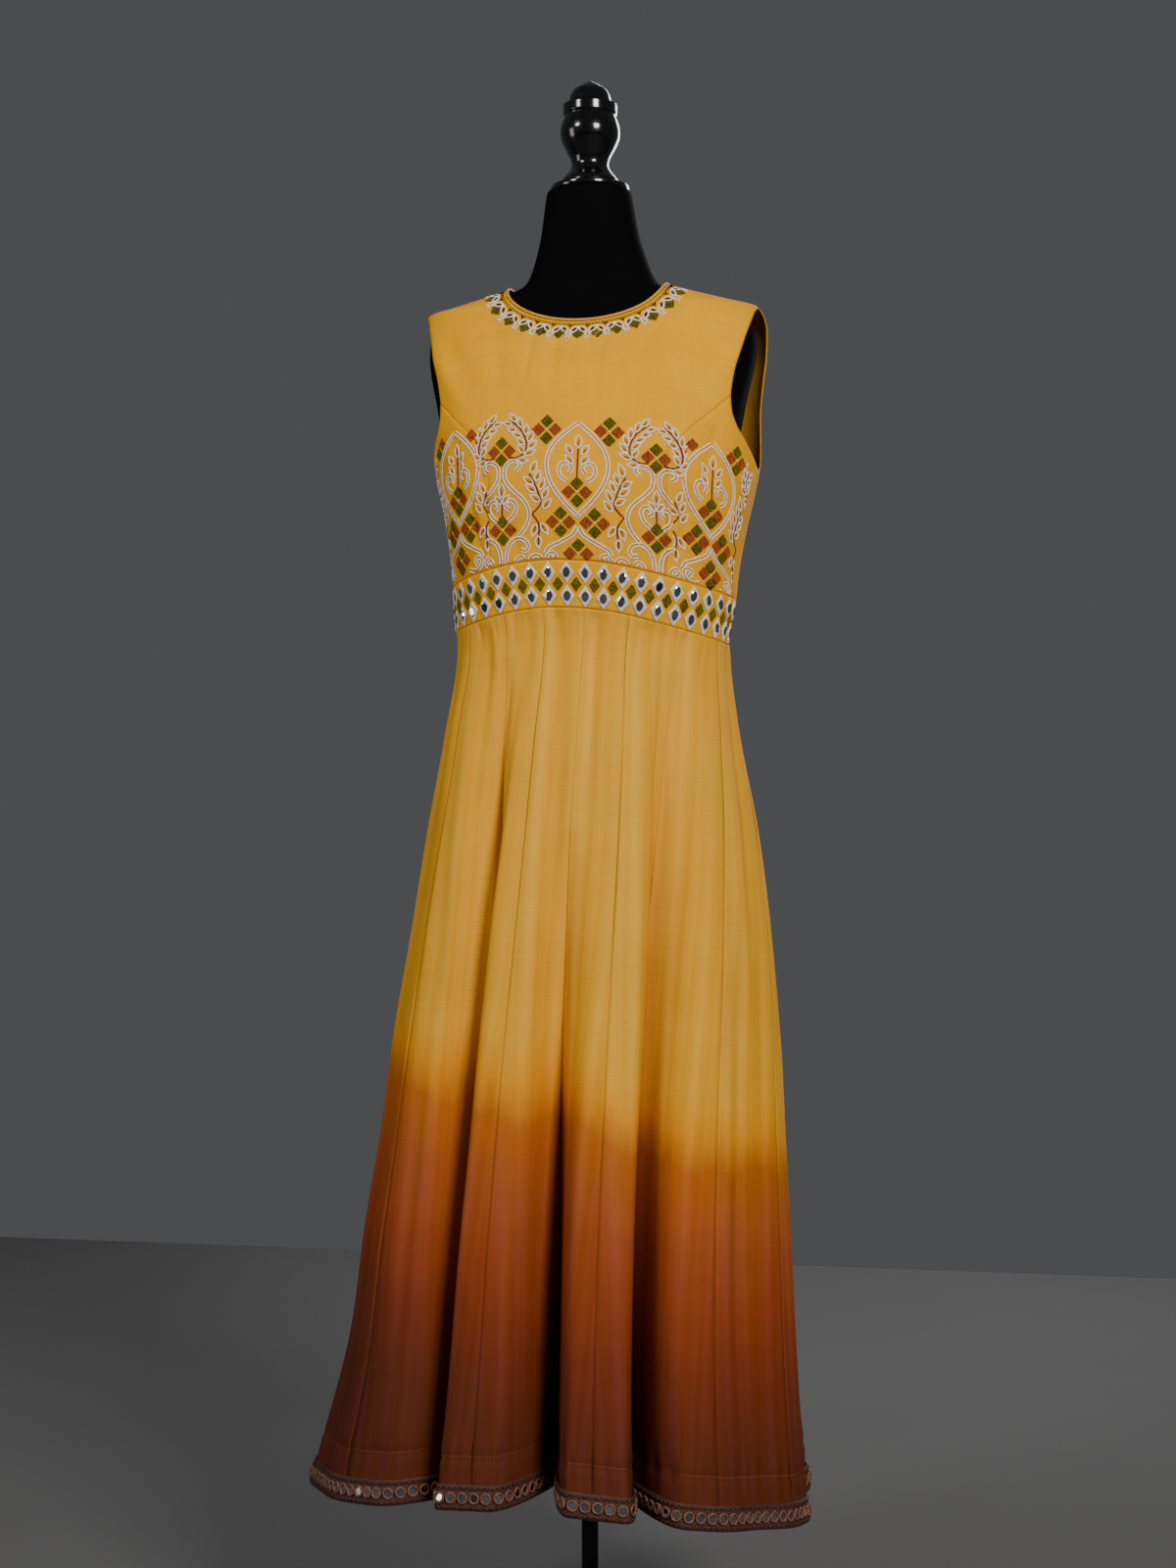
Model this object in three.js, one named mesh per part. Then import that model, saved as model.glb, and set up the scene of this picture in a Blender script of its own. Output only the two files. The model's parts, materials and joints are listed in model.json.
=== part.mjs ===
// A sleeveless panelled kurti, worn by a limbless dress form on a round stand.
// Millimetres, +Z up. The origin is on the floor, on the axis of the pole.
// The front faces -Y, and +X is the wearer's left side.
import * as THREE from 'three';

// Cloth and seams
const CLOTH = 1.5; // thickness of every cloth wall
const SEAM_GAP = 0.35; // space between two pieces at a seam
const TAPE_THICKNESS = 1.2; // the braided tape sewn round the hem
const TAPE_CLEARANCE = 0.3; // between the tape and the skirt under it
const PIPING_RADIUS = 1.5;
const PIPING_CLEARANCE = 0.6;
const SHOULDER_CLEARANCE = 0.7; // between the cloth and the form, along the shoulder seams
const SLOPE_CLEARANCE = 6; // and how much more room it has in front and behind
const TIP_CLEARANCE = 6; // the form ends short of the shoulder tips

// Heights of the garment
const WAIST_Z = 1141; // waist seam at the centre of the front
const WAIST_SIDE_DIP = 28; // how much lower the waist seam runs at the sides
const WAIST_TILT = 6; // the waist seam also falls toward the wearer's left
const BAND_HEIGHT = 48; // the mirrored waistband on the front
const HEM_Z = 200; // hem at the back and on average at the sides
const HEM_FRONT_LIFT = 42; // the front of the hem is carried higher by the figure
const HEM_TILT = 8;
const UNDERARM_Z = 1291;
const PRINCESS_TOP_Z = 1361; // where the curved front seam meets the armhole
const SHOULDER_TIP_Z = 1466;
const NECK_POINT_Z = 1491;
const NECK_HALF_WIDTH = 87;
const FRONT_NECK_DROP = 48;
const BACK_NECK_DROP = 14;

// Mirrors on the waistband
const MIRRORS_PER_ROW = 22;
const MIRROR_ROWS = 2;
const MIRROR_HEIGHT = 21.8;
const MIRROR_RISE = 1.8; // how far the middle of a mirror stands off the band

// Stand
const POLE_RADIUS = 8.9;
const BASE_RADIUS = 175;
const BASE_THICKNESS = 12;
const HUB_RADIUS = 24;
const HUB_TOP_Z = 40;
const REST_GAP = 0.3; // between stacked hard pieces
const FORM_BOTTOM_Z = 800;
const FORM_TOP_Z = 1593.6;
const DISC_RADIUS = 41.7;
const DISC_THICKNESS = 5.4;

// A level section of the body is a rounded rectangle between an ellipse (2) and a box
const FULLNESS = 2.35;

// Outside of the cloth: reach of each level section from the pole's axis
const GOWN = [
  { z: 180, left: 307, right: 240, front: 221, back: 231, middle: 0 },
  { z: 220, left: 298, right: 236, front: 216, back: 225, middle: 0 },
  { z: 277, left: 282, right: 231, front: 211, back: 219, middle: 0 },
  { z: 382, left: 256, right: 224, front: 200, back: 207, middle: 0 },
  { z: 487, left: 242, right: 218, front: 190, back: 196, middle: 0 },
  { z: 592, left: 224, right: 211, front: 178, back: 183, middle: 0 },
  { z: 698, left: 210, right: 204.5, front: 165, back: 169, middle: 0 },
  { z: 802, left: 192, right: 196, front: 150, back: 153, middle: 0 },
  { z: 907, left: 175, right: 181, front: 134, back: 136, middle: 0 },
  { z: 1012, left: 156, right: 161, front: 118, back: 118, middle: 0 },
  { z: 1107, left: 142, right: 149, front: 103, back: 96, middle: 0 },
  { z: 1144, left: 144, right: 155, front: 107, back: 97, middle: 0 },
  { z: 1188, left: 147, right: 160, front: 113, back: 99, middle: 0 },
  { z: 1231, left: 152, right: 168, front: 119, back: 101, middle: 0 },
  { z: 1265, left: 159, right: 176, front: 123, back: 103, middle: 0 },
  { z: 1291, left: 165, right: 181, front: 124, back: 105, middle: 2 },
  { z: 1330, left: 172, right: 186, front: 119, back: 107, middle: 4 },
  { z: 1361, left: 176, right: 187, front: 112, back: 107, middle: 6 },
  { z: 1390, left: 181, right: 189, front: 103, back: 104, middle: 8 },
  { z: 1420, left: 186, right: 191, front: 90, back: 97, middle: 12 },
  { z: 1445, left: 185, right: 190, front: 76, back: 86, middle: 14 },
  { z: 1458, left: 182, right: 186, front: 70, back: 79, middle: 15 },
  { z: 1466, left: 180, right: 180, front: 67, back: 74, middle: 16 },
  { z: 1472, left: 158, right: 158, front: 65, back: 71, middle: 16 },
  { z: 1478, left: 135, right: 135, front: 63, back: 68, middle: 16 },
  { z: 1484, left: 112, right: 112, front: 61, back: 65, middle: 16 },
  { z: 1491, left: 87, right: 87, front: 59, back: 62, middle: 16 },
];

// The padded torso under the cloth, up to the line where the shoulders start
const FORM_BODY = [
  { z: 800, half: 150, front: 100, back: 105, middle: 0 },
  { z: 850, half: 156, front: 102, back: 109, middle: 0 },
  { z: 900, half: 158, front: 103, back: 110, middle: 0 },
  { z: 950, half: 151, front: 101, back: 107, middle: 0 },
  { z: 1000, half: 140, front: 98, back: 100, middle: 0 },
  { z: 1060, half: 122, front: 88, back: 88, middle: 0 },
  { z: 1110, half: 130, front: 92, back: 87, middle: 0 },
  { z: 1150, half: 135, front: 97, back: 88, middle: 0 },
  { z: 1188, half: 139, front: 102, back: 90, middle: 0 },
  { z: 1225, half: 144, front: 109, back: 92, middle: 0 },
  { z: 1265, half: 150, front: 114, back: 94, middle: 0 },
  { z: 1296, half: 156, front: 116, back: 96, middle: 2 },
  { z: 1328, half: 162, front: 111, back: 98, middle: 4 },
  { z: 1346, half: 165, front: 106, back: 99, middle: 5 },
  { z: 1372, half: 170, front: 100, back: 98, middle: 7 },
  { z: 1390, half: 175, front: 95, back: 96, middle: 8 },
  { z: 1410, half: 180, front: 87, back: 92, middle: 11 },
  { z: 1430, half: 182, front: 78, back: 85, middle: 13 },
  { z: 1445, half: 180, front: 70, back: 78, middle: 14 },
  { z: 1456, half: 177, front: 63, back: 70, middle: 15 },
];

const FORM_NECK = [
  { z: 1495, half: 72, front: 51, back: 53, middle: 16 },
  { z: 1512, half: 64, front: 51, back: 52, middle: 14 },
  { z: 1541, half: 54, front: 50, back: 50, middle: 8 },
  { z: 1568, half: 49.5, front: 48.5, back: 48.5, middle: 3 },
  { z: 1591, half: 46, front: 46, back: 46, middle: 0 },
  { z: FORM_TOP_Z, half: 44, front: 44, back: 44, middle: 0 },
];

// Front armhole: how far out it runs, as a share of the section's half width
const FRONT_ARMHOLE = [
  { z: 1291, share: 1 },
  { z: 1299, share: 0.985 },
  { z: 1306, share: 0.965 },
  { z: 1317, share: 0.93 },
  { z: 1331, share: 0.885 },
  { z: 1346, share: 0.858 },
  { z: 1361, share: 0.85 },
  { z: 1383, share: 0.855 },
  { z: 1415, share: 0.88 },
  { z: 1440, share: 0.915 },
  { z: 1455, share: 0.95 },
  { z: 1466, share: 1 },
];

const BACK_ARMHOLE = [
  { z: 1291, share: 1 },
  { z: 1306, share: 0.985 },
  { z: 1331, share: 0.965 },
  { z: 1361, share: 0.958 },
  { z: 1383, share: 0.962 },
  { z: 1415, share: 0.972 },
  { z: 1440, share: 0.982 },
  { z: 1455, share: 0.99 },
  { z: 1466, share: 1 },
];

// Princess seam: from the waistband up over the bust, then out to the armhole
const PRINCESS_SEAM = [
  { z: 1170, share: 0.6 },
  { z: 1188, share: 0.6 },
  { z: 1265, share: 0.557 },
  { z: 1296, share: 0.54 },
  { z: 1320, share: 0.63 },
  { z: 1340, share: 0.74 },
  { z: 1361, share: 0.85 },
];

// Skirt seams, one between each two kalis: angles in degrees round the body from
// the centre front toward the wearer's left. A seam with a depth falls inward.
const SKIRT_SEAMS = [
  { waist: -82, hem: -84, depth: 0, from: 0, growth: 1.15, pinch: 1 },
  { waist: -59.5, hem: -57, depth: 0, from: 0, growth: 1.15, pinch: 1 },
  { waist: -37.5, hem: -36.5, depth: 106, from: 0.05, growth: 0.88, pinch: 3.2 },
  { waist: -16, hem: -22, depth: 0, from: 0, growth: 1.15, pinch: 1 },
  { waist: 7, hem: -6.5, depth: 112, from: 0.25, growth: 0.9, pinch: 1.7 },
  { waist: 30.5, hem: 10.5, depth: 0, from: 0, growth: 1.15, pinch: 1 },
  { waist: 53, hem: 26, depth: 108, from: 0.05, growth: 0.88, pinch: 3.2 },
  { waist: 75.5, hem: 43, depth: 0, from: 0, growth: 1.15, pinch: 1 },
  { waist: 98, hem: 70, depth: 0, from: 0, growth: 1.15, pinch: 1 },
  { waist: 120.5, hem: 97, depth: 60, from: 0, growth: 1.15, pinch: 2 },
  { waist: 143, hem: 122, depth: 0, from: 0, growth: 1.15, pinch: 1 },
  { waist: 165.5, hem: 147, depth: 70, from: 0, growth: 1.15, pinch: 2 },
  { waist: 188, hem: 171, depth: 0, from: 0, growth: 1.15, pinch: 1 },
  { waist: 210.5, hem: 196, depth: 70, from: 0, growth: 1.15, pinch: 2 },
  { waist: 233, hem: 222, depth: 0, from: 0, growth: 1.15, pinch: 1 },
  { waist: 255.5, hem: 250, depth: 70, from: 0, growth: 1.15, pinch: 2 },
];

const KALI_COLUMNS = 6;
const KALI_ROWS = [0, 0.05, 0.14, 0.26, 0.4, 0.54, 0.68, 0.82, 0.92, 0.972, 1];
const TAPE_ROWS = KALI_ROWS.slice(-2);
const FOLD_START = 0.24; // share of a kali that stays on the outside before it turns in
const FOLD_LINGER = 0.12; // keeps a little of the kali's width for its deepest stretch
const PINCH_GROWTH = 0.45; // how soon below the waist the folds become narrow
const SOFT_RIPPLE = 8; // dip of a kali that has no fold beside it
const MITRE_LIMIT = 3.5;

// Turned finial on the neck: height above the disc and radius
const FINIAL_PROFILE = [
  { rise: 0, radius: 31.5 },
  { rise: 4.7, radius: 30.8 },
  { rise: 8.7, radius: 28.1 },
  { rise: 13.7, radius: 23.8 },
  { rise: 18.4, radius: 20.9 },
  { rise: 23.3, radius: 19.9 },
  { rise: 28.1, radius: 20.7 },
  { rise: 34.7, radius: 23.8 },
  { rise: 42.7, radius: 28.1 },
  { rise: 51.5, radius: 31.5 },
  { rise: 57.3, radius: 32.1 },
  { rise: 62.7, radius: 31.5 },
  { rise: 70.7, radius: 29 },
  { rise: 74.7, radius: 27.4 },
  { rise: 77.7, radius: 29 },
  { rise: 86.4, radius: 29 },
  { rise: 89.3, radius: 23.3 },
  { rise: 96.1, radius: 21.5 },
  { rise: 102.7, radius: 18 },
  { rise: 107.7, radius: 10.7 },
];
const FINIAL_HEIGHT = 112;

// Steps along the edges of the bodice pieces
const PRINCESS_STEPS = 6;
const ARMHOLE_STEPS = 7;
const SHOULDER_STEPS = 5;
const NECK_STEPS = 14;
const SIDE_FRONT_COLUMNS = 6;
const BACK_WAIST_STEPS = 2;

const { lerp, smoothstep, degToRad } = THREE.MathUtils;

// Reads one column of a table at z, by a monotone cubic through its rows
function readTable(table, column, z) {
  const last = table.length - 1;
  const height = THREE.MathUtils.clamp(z, table[0].z, table[last].z);
  let row = 0;
  while (row < last - 1 && height > table[row + 1].z) row += 1;
  const rise = (i) => (table[i + 1][column] - table[i][column]) / (table[i + 1].z - table[i].z);
  const slopeAt = (i) => {
    if (i === 0) return rise(0);
    if (i === last) return rise(last - 1);
    const before = rise(i - 1);
    const after = rise(i);
    return before * after <= 0 ? 0 : (2 * before * after) / (before + after);
  };
  const span = table[row + 1].z - table[row].z;
  const s = (height - table[row].z) / span;
  const startWeight = (1 + 2 * s) * (1 - s) ** 2;
  const startSlope = s * (1 - s) ** 2 * span * slopeAt(row);
  const endSlope = s * s * (s - 1) * span * slopeAt(row + 1);
  const end = table[row + 1][column];
  return startWeight * table[row][column] + (1 - startWeight) * end + startSlope + endSlope;
}

function section(table, z) {
  const cut = {};
  for (const column of ['left', 'right', 'front', 'back', 'middle']) {
    cut[column] = readTable(table, column, z);
  }
  return cut;
}

// A point of the surface at a height and an angle round the body
function ringPoint(table, z, angle) {
  const cut = section(table, z);
  const across = Math.abs(Math.sin(angle)) / (Math.sin(angle) < 0 ? cut.left : cut.right);
  const along = Math.abs(Math.cos(angle)) / (Math.cos(angle) > 0 ? cut.front : cut.back);
  const radius = (across ** FULLNESS + along ** FULLNESS) ** (-1 / FULLNESS);
  return new THREE.Vector3(radius * Math.sin(angle), cut.middle - radius * Math.cos(angle), z);
}

// A point of the garment's front (face -1) or back (face 1) at a given x and height
function facePoint(x, z, face) {
  const cut = section(GOWN, z);
  const share = Math.abs(x) / (x < 0 ? cut.left : cut.right);
  const depth = (face < 0 ? cut.front : cut.back) * Math.max(0, 1 - share ** FULLNESS) ** (1 / FULLNESS);
  return new THREE.Vector3(x, cut.middle + face * depth, z);
}

function angleOf(point) {
  const angle = Math.atan2(point.x, readTable(GOWN, 'middle', point.z) - point.y);
  return angle;
}

// Direction that faces away from the body at a point of the garment's surface
function outwardAt(point) {
  const level = (x, y, z) => {
    const cut = section(GOWN, z);
    const across = Math.abs(x) / (x < 0 ? cut.left : cut.right);
    const along = Math.abs(y - cut.middle) / (y < cut.middle ? cut.front : cut.back);
    return across ** FULLNESS + along ** FULLNESS;
  };
  const step = 0.05;
  const { x, y, z } = point;
  return new THREE.Vector3(
    level(x + step, y, z) - level(x - step, y, z),
    level(x, y + step, z) - level(x, y - step, z),
    level(x, y, z + step) - level(x, y, z - step),
  ).normalize();
}

function waistSeam(angle) {
  const toSide = Math.cos(angle) > 0 ? Math.abs(Math.sin(angle)) ** 2.4 : 1;
  return WAIST_Z - WAIST_SIDE_DIP * toSide - WAIST_TILT * Math.sin(angle);
}

function hemHeight(angle) {
  const toFront = Math.max(0, Math.cos(angle)) ** 1.3;
  return HEM_Z + HEM_FRONT_LIFT * toFront - HEM_TILT * Math.sin(angle);
}

// Fills the space between four edges that share their corners. Each edge is a list
// of 2-D points, and the result is a list of rows from the bottom edge to the top,
// spaced as the heights of the left edge are.
function fillBetween(bottom, top, left, right) {
  const columns = bottom.length - 1;
  const rows = left.length - 1;
  const grid = [];
  for (let j = 0; j <= rows; j += 1) {
    const v = (left[j].y - left[0].y) / (left[rows].y - left[0].y);
    const row = [];
    for (let i = 0; i <= columns; i += 1) {
      const u = i / columns;
      const point = new THREE.Vector2();
      point.addScaledVector(left[j], 1 - u).addScaledVector(right[j], u);
      point.addScaledVector(bottom[i], 1 - v).addScaledVector(top[i], v);
      point.addScaledVector(bottom[0], -(1 - u) * (1 - v));
      point.addScaledVector(bottom[columns], -u * (1 - v));
      point.addScaledVector(top[0], -(1 - u) * v);
      point.addScaledVector(top[columns], -u * v);
      row.push(point);
    }
    grid.push(row);
  }
  return grid;
}

function steps(count, from, to, place) {
  const points = [];
  for (let i = 0; i <= count; i += 1) points.push(place(lerp(from, to, i / count)));
  return points;
}

// Moves the edge points of a grid inward by half a seam gap
function openSeams(grid) {
  const lastRow = grid.length - 1;
  const lastColumn = grid[0].length - 1;
  const pull = (point, neighbour, before, after) => {
    const along = after.clone().sub(before).normalize();
    const inward = neighbour.clone().sub(point);
    inward.addScaledVector(along, -inward.dot(along));
    return inward.setLength(SEAM_GAP / 2);
  };
  return grid.map((row, j) => row.map((point, i) => {
    const moved = point.clone();
    const below = grid[Math.max(j - 1, 0)][i];
    const above = grid[Math.min(j + 1, lastRow)][i];
    const before = row[Math.max(i - 1, 0)];
    const after = row[Math.min(i + 1, lastColumn)];
    if (i === 0) moved.add(pull(point, after, below, above));
    if (i === lastColumn) moved.add(pull(point, before, below, above));
    if (j === 0) moved.add(pull(point, above, before, after));
    if (j === lastRow) moved.add(pull(point, below, before, after));
    return moved;
  }));
}

function bodyFromTriangles(points, triangles) {
  const positions = points.flatMap((point) => [point.x, point.y, point.z]);
  let volume = 0;
  for (const [a, b, c] of triangles) {
    volume += points[a].dot(points[b].clone().cross(points[c]));
  }
  const index = triangles.flatMap(([a, b, c]) => (volume < 0 ? [a, c, b] : [a, b, c]));
  const geometry = new THREE.BufferGeometry();
  geometry.setAttribute('position', new THREE.Float32BufferAttribute(positions, 3));
  geometry.setIndex(index);
  geometry.computeVertexNormals();
  return geometry;
}

// A wall between an outer and an inner grid of points. A closed wall joins its last
// column to its first. turned(i, j) picks the other diagonal of an outer cell.
function wallBetween(outer, inner, { closed = false, turned = () => false } = {}) {
  const rows = outer.length;
  const columns = outer[0].length;
  const points = [...outer.flat(), ...inner.flat()];
  const out = (j, i) => j * columns + (i % columns);
  const into = (j, i) => rows * columns + out(j, i);
  const triangles = [];
  const cells = closed ? columns : columns - 1;
  const edge = (outA, outB, inA, inB) => triangles.push([outB, outA, inA], [outB, inA, inB]);
  for (let j = 0; j < rows - 1; j += 1) {
    for (let i = 0; i < cells; i += 1) {
      const [a, b, c, d] = [out(j, i), out(j, i + 1), out(j + 1, i + 1), out(j + 1, i)];
      if (turned(i, j)) triangles.push([a, b, d], [b, c, d]);
      else triangles.push([a, b, c], [a, c, d]);
      const [e, f, g, h] = [into(j, i), into(j, i + 1), into(j + 1, i + 1), into(j + 1, i)];
      triangles.push([e, g, f], [e, h, g]);
    }
    if (!closed) {
      edge(out(j + 1, 0), out(j, 0), into(j + 1, 0), into(j, 0));
      edge(out(j, cells), out(j + 1, cells), into(j, cells), into(j + 1, cells));
    }
  }
  const top = rows - 1;
  for (let i = 0; i < cells; i += 1) {
    edge(out(0, i), out(0, i + 1), into(0, i), into(0, i + 1));
    edge(out(top, i + 1), out(top, i), into(top, i + 1), into(top, i));
  }
  return bodyFromTriangles(points, triangles);
}

// A bodice piece: its grid of surface points, opened at the seams and given its wall
function clothPanel(grid, { rise = () => 0, turned } = {}) {
  const outward = grid.map((row) => row.map(outwardAt));
  const edged = openSeams(grid);
  const offset = (amount) => edged.map((row, j) => row.map((point, i) => (
    point.clone().addScaledVector(outward[j][i], amount(i, j))
  )));
  return wallBetween(offset(rise), offset(() => -CLOTH), { turned });
}

const kurti = new THREE.Group();

const CLOTH_YELLOW = { color: 0xd49e1c, roughness: 0.85 };
const SKIRT_YELLOW = { color: 0xd2a841, roughness: 0.85 };
const TRIM_BROWN = { color: 0x3c231c, roughness: 0.7 };
const VELVET_BLACK = { color: 0x101012, roughness: 0.9 };
const WOOD_BLACK = { color: 0x0a0a0b, roughness: 0.25 };
const STEEL_BLACK = { color: 0x121214, roughness: 0.4, metalness: 0.6 };

function addPiece(name, geometry, finish) {
  const mesh = new THREE.Mesh(geometry, new THREE.MeshStandardMaterial(finish));
  mesh.name = name;
  kurti.add(mesh);
}

// Edges that two bodice pieces share
function bandTop(angle) {
  return ringPoint(GOWN, waistSeam(angle) + BAND_HEIGHT, angle);
}

function halfWidth(z, side) {
  return readTable(GOWN, side < 0 ? 'left' : 'right', z);
}

function princessFoot(side) {
  let z = WAIST_Z + BAND_HEIGHT;
  for (let pass = 0; pass < 8; pass += 1) {
    const x = side * readTable(PRINCESS_SEAM, 'share', z) * halfWidth(z, side);
    z = waistSeam(angleOf(facePoint(x, z, -1))) + BAND_HEIGHT;
  }
  return z;
}

function edgeAt(table, z, side, face) {
  return facePoint(side * readTable(table, 'share', z) * halfWidth(z, side), z, face);
}

function princessEdge(side) {
  const place = (z) => edgeAt(PRINCESS_SEAM, z, side, -1);
  return steps(PRINCESS_STEPS, princessFoot(side), PRINCESS_TOP_Z, place);
}

// Rows gather toward the shoulder, where the surface turns over
function armholeEdge(table, fromZ, side, face) {
  return steps(ARMHOLE_STEPS, 0, 1, (s) => {
    const z = lerp(SHOULDER_TIP_Z, fromZ, (1 - s) ** 2.2);
    return edgeAt(table, z, side, face);
  });
}

function sideSeamEdge(side) {
  const foot = bandTop(side * Math.PI / 2).z;
  return steps(PRINCESS_STEPS, foot, UNDERARM_Z, (z) => facePoint(side * halfWidth(z, side), z, -1));
}

function shoulderEdge(side) {
  const place = (z) => facePoint(side * halfWidth(z, side), z, -1);
  return steps(SHOULDER_STEPS, SHOULDER_TIP_Z, NECK_POINT_Z, place);
}

// Neck points gather beside the shoulder seams too
function neckEdge(face) {
  const drop = face < 0 ? FRONT_NECK_DROP : BACK_NECK_DROP;
  return steps(NECK_STEPS, -1, 1, (s) => {
    const turn = Math.sign(s) * (1 - (1 - Math.abs(s)) ** 2.2) * Math.PI / 2;
    return facePoint(NECK_HALF_WIDTH * Math.sin(turn), NECK_POINT_Z - drop * Math.cos(turn), face);
  });
}

// Shoulder, neck and shoulder again, from the wearer's right to left
function topEdge(face) {
  return [...shoulderEdge(-1), ...neckEdge(face).slice(1, -1), ...shoulderEdge(1).reverse()];
}

const flatXZ = (point) => new THREE.Vector2(point.x, point.z);
const onFace = (face) => (row) => row.map((point) => facePoint(point.x, point.y, face));
const onRing = (row) => row.map((point) => ringPoint(GOWN, point.y, point.x));

function buildFrontCenter() {
  const rightSide = [...princessEdge(1), ...armholeEdge(FRONT_ARMHOLE, PRINCESS_TOP_Z, 1, -1).slice(1)];
  const leftSide = [...princessEdge(-1), ...armholeEdge(FRONT_ARMHOLE, PRINCESS_TOP_Z, -1, -1).slice(1)];
  const top = topEdge(-1);
  const bottom = steps(top.length - 1, angleOf(leftSide[0]), angleOf(rightSide[0]), bandTop);
  const flat = fillBetween(bottom.map(flatXZ), top.map(flatXZ), leftSide.map(flatXZ), rightSide.map(flatXZ));
  addPiece('bodice_front_center', clothPanel(flat.map(onFace(-1))), CLOTH_YELLOW);
}

function buildSideFront(name, side) {
  const flatRing = (point) => new THREE.Vector2(angleOf(point), point.z);
  const inner = princessEdge(side);
  const outer = sideSeamEdge(side);
  const top = steps(SIDE_FRONT_COLUMNS, PRINCESS_TOP_Z, UNDERARM_Z, (z) => edgeAt(FRONT_ARMHOLE, z, side, -1));
  const bottom = steps(SIDE_FRONT_COLUMNS, angleOf(inner[0]), side * Math.PI / 2, bandTop);
  const flat = fillBetween(bottom.map(flatRing), top.map(flatRing), inner.map(flatRing), outer.map(flatRing));
  addPiece(name, clothPanel(flat.map(onRing)), CLOTH_YELLOW);
}

// The back has two stretches: round the ribs by angle, then up to the shoulders by x
function buildBack() {
  const top = topEdge(1);
  const columns = top.length - 1;
  const quarter = Math.PI / 2;
  const sideRows = (side) => {
    const angle = side * quarter;
    const foot = ringPoint(GOWN, waistSeam(angle), angle);
    const seam = sideSeamEdge(side);
    const low = steps(BACK_WAIST_STEPS, foot.z, seam[0].z, (z) => ringPoint(GOWN, z, angle));
    return [...low, ...seam.slice(1)];
  };
  const leftRows = sideRows(-1);
  const lower = sideRows(1).map((edge, j) => steps(columns, -quarter, quarter, (turn) => (
    ringPoint(GOWN, lerp(leftRows[j].z, edge.z, (1 + Math.sin(turn)) / 2), Math.PI - turn)
  )));
  const leftArm = armholeEdge(BACK_ARMHOLE, UNDERARM_Z, -1, 1);
  const rightArm = armholeEdge(BACK_ARMHOLE, UNDERARM_Z, 1, 1);
  const bottom = lower[lower.length - 1];
  const upper = fillBetween(bottom.map(flatXZ), top.map(flatXZ), leftArm.map(flatXZ), rightArm.map(flatXZ));
  const grid = [...lower, ...upper.slice(1).map(onFace(1))];
  addPiece('bodice_back', clothPanel(grid), CLOTH_YELLOW);
}

// The waistband carries two rows of lozenge mirrors, raised from its outer points
function buildWaistband() {
  const columns = MIRRORS_PER_ROW * 2;
  const rowPitch = BAND_HEIGHT / MIRROR_ROWS;
  const rises = [0];
  for (let row = 0; row < MIRROR_ROWS; row += 1) {
    const middle = (row + 0.5) * rowPitch;
    rises.push(middle - MIRROR_HEIGHT / 2, middle, middle + MIRROR_HEIGHT / 2);
  }
  rises.push(BAND_HEIGHT);
  const angles = evenAngles(columns, -Math.PI / 2, Math.PI / 2);
  const grid = rises.map((rise) => angles.map((angle) => ringPoint(GOWN, waistSeam(angle) + rise, angle)));
  const isMiddle = (i, j) => i % 2 === 1 && j % 3 === 2;
  const rise = (i, j) => (isMiddle(i, j) ? MIRROR_RISE : 0);
  const turned = (i, j) => isMiddle(i, j) || isMiddle(i + 1, j + 1);
  addPiece('waistband_front', clothPanel(grid, { rise, turned }), CLOTH_YELLOW);
}

// Angles that cut a stretch of the waistband into pieces of equal length
function evenAngles(count, from, to) {
  const samples = steps(count * 8, from, to, (angle) => ({ angle, point: bandTop(angle) }));
  const lengths = [0];
  for (let i = 1; i < samples.length; i += 1) {
    lengths.push(lengths[i - 1] + samples[i].point.distanceTo(samples[i - 1].point));
  }
  const total = lengths[lengths.length - 1];
  return steps(count, 0, total, (length) => {
    const after = Math.max(1, lengths.findIndex((value) => value >= length - 1e-6));
    const share = (length - lengths[after - 1]) / (lengths[after] - lengths[after - 1]);
    return lerp(samples[after - 1].angle, samples[after].angle, share);
  });
}

// Skirt
function skirtSeam(k) {
  return SKIRT_SEAMS[k % SKIRT_SEAMS.length];
}

function seamAngle(k, t) {
  const fullTurns = Math.floor(k / SKIRT_SEAMS.length) * 360;
  const swing = 1 - (1 - t) ** 2;
  return degToRad(lerp(skirtSeam(k).waist, skirtSeam(k).hem, swing) + fullTurns);
}

function seamDepth(k, t) {
  const { depth, from, growth } = skirtSeam(k);
  return depth * Math.max(0, (t - from) / (1 - from)) ** growth;
}

// How far a kali has turned toward a fold, and how deep it is there, u from 0 to 1
function towardFold(k, u, t) {
  const bend = 1 + (skirtSeam(k).pinch - 1) * t ** PINCH_GROWTH;
  const share = (1 - FOLD_LINGER) * (1 - (1 - u) ** bend) + FOLD_LINGER * u ** 4;
  return { share, depth: seamDepth(k, t) * smoothstep(u, FOLD_START, 1) };
}

// A point of kali k: u runs across it and t from the waist to the hem
function skirtPoint(k, u, t) {
  let share = u;
  let depth = SOFT_RIPPLE * t * Math.sin(Math.PI * u) ** 2;
  if (skirtSeam(k + 1).depth > 0) {
    ({ share, depth } = towardFold(k + 1, u, t));
  } else if (skirtSeam(k).depth > 0) {
    const mirrored = towardFold(k, 1 - u, t);
    share = 1 - mirrored.share;
    depth = mirrored.depth;
  }
  const angle = lerp(seamAngle(k, t), seamAngle(k + 1, t), share);
  const z = lerp(waistSeam(angle), hemHeight(angle), t);
  const point = ringPoint(GOWN, z, angle);
  const radius = Math.hypot(point.x, point.y);
  const scale = (radius - depth) / radius;
  return new THREE.Vector3(point.x * scale, point.y * scale, z);
}

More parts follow.
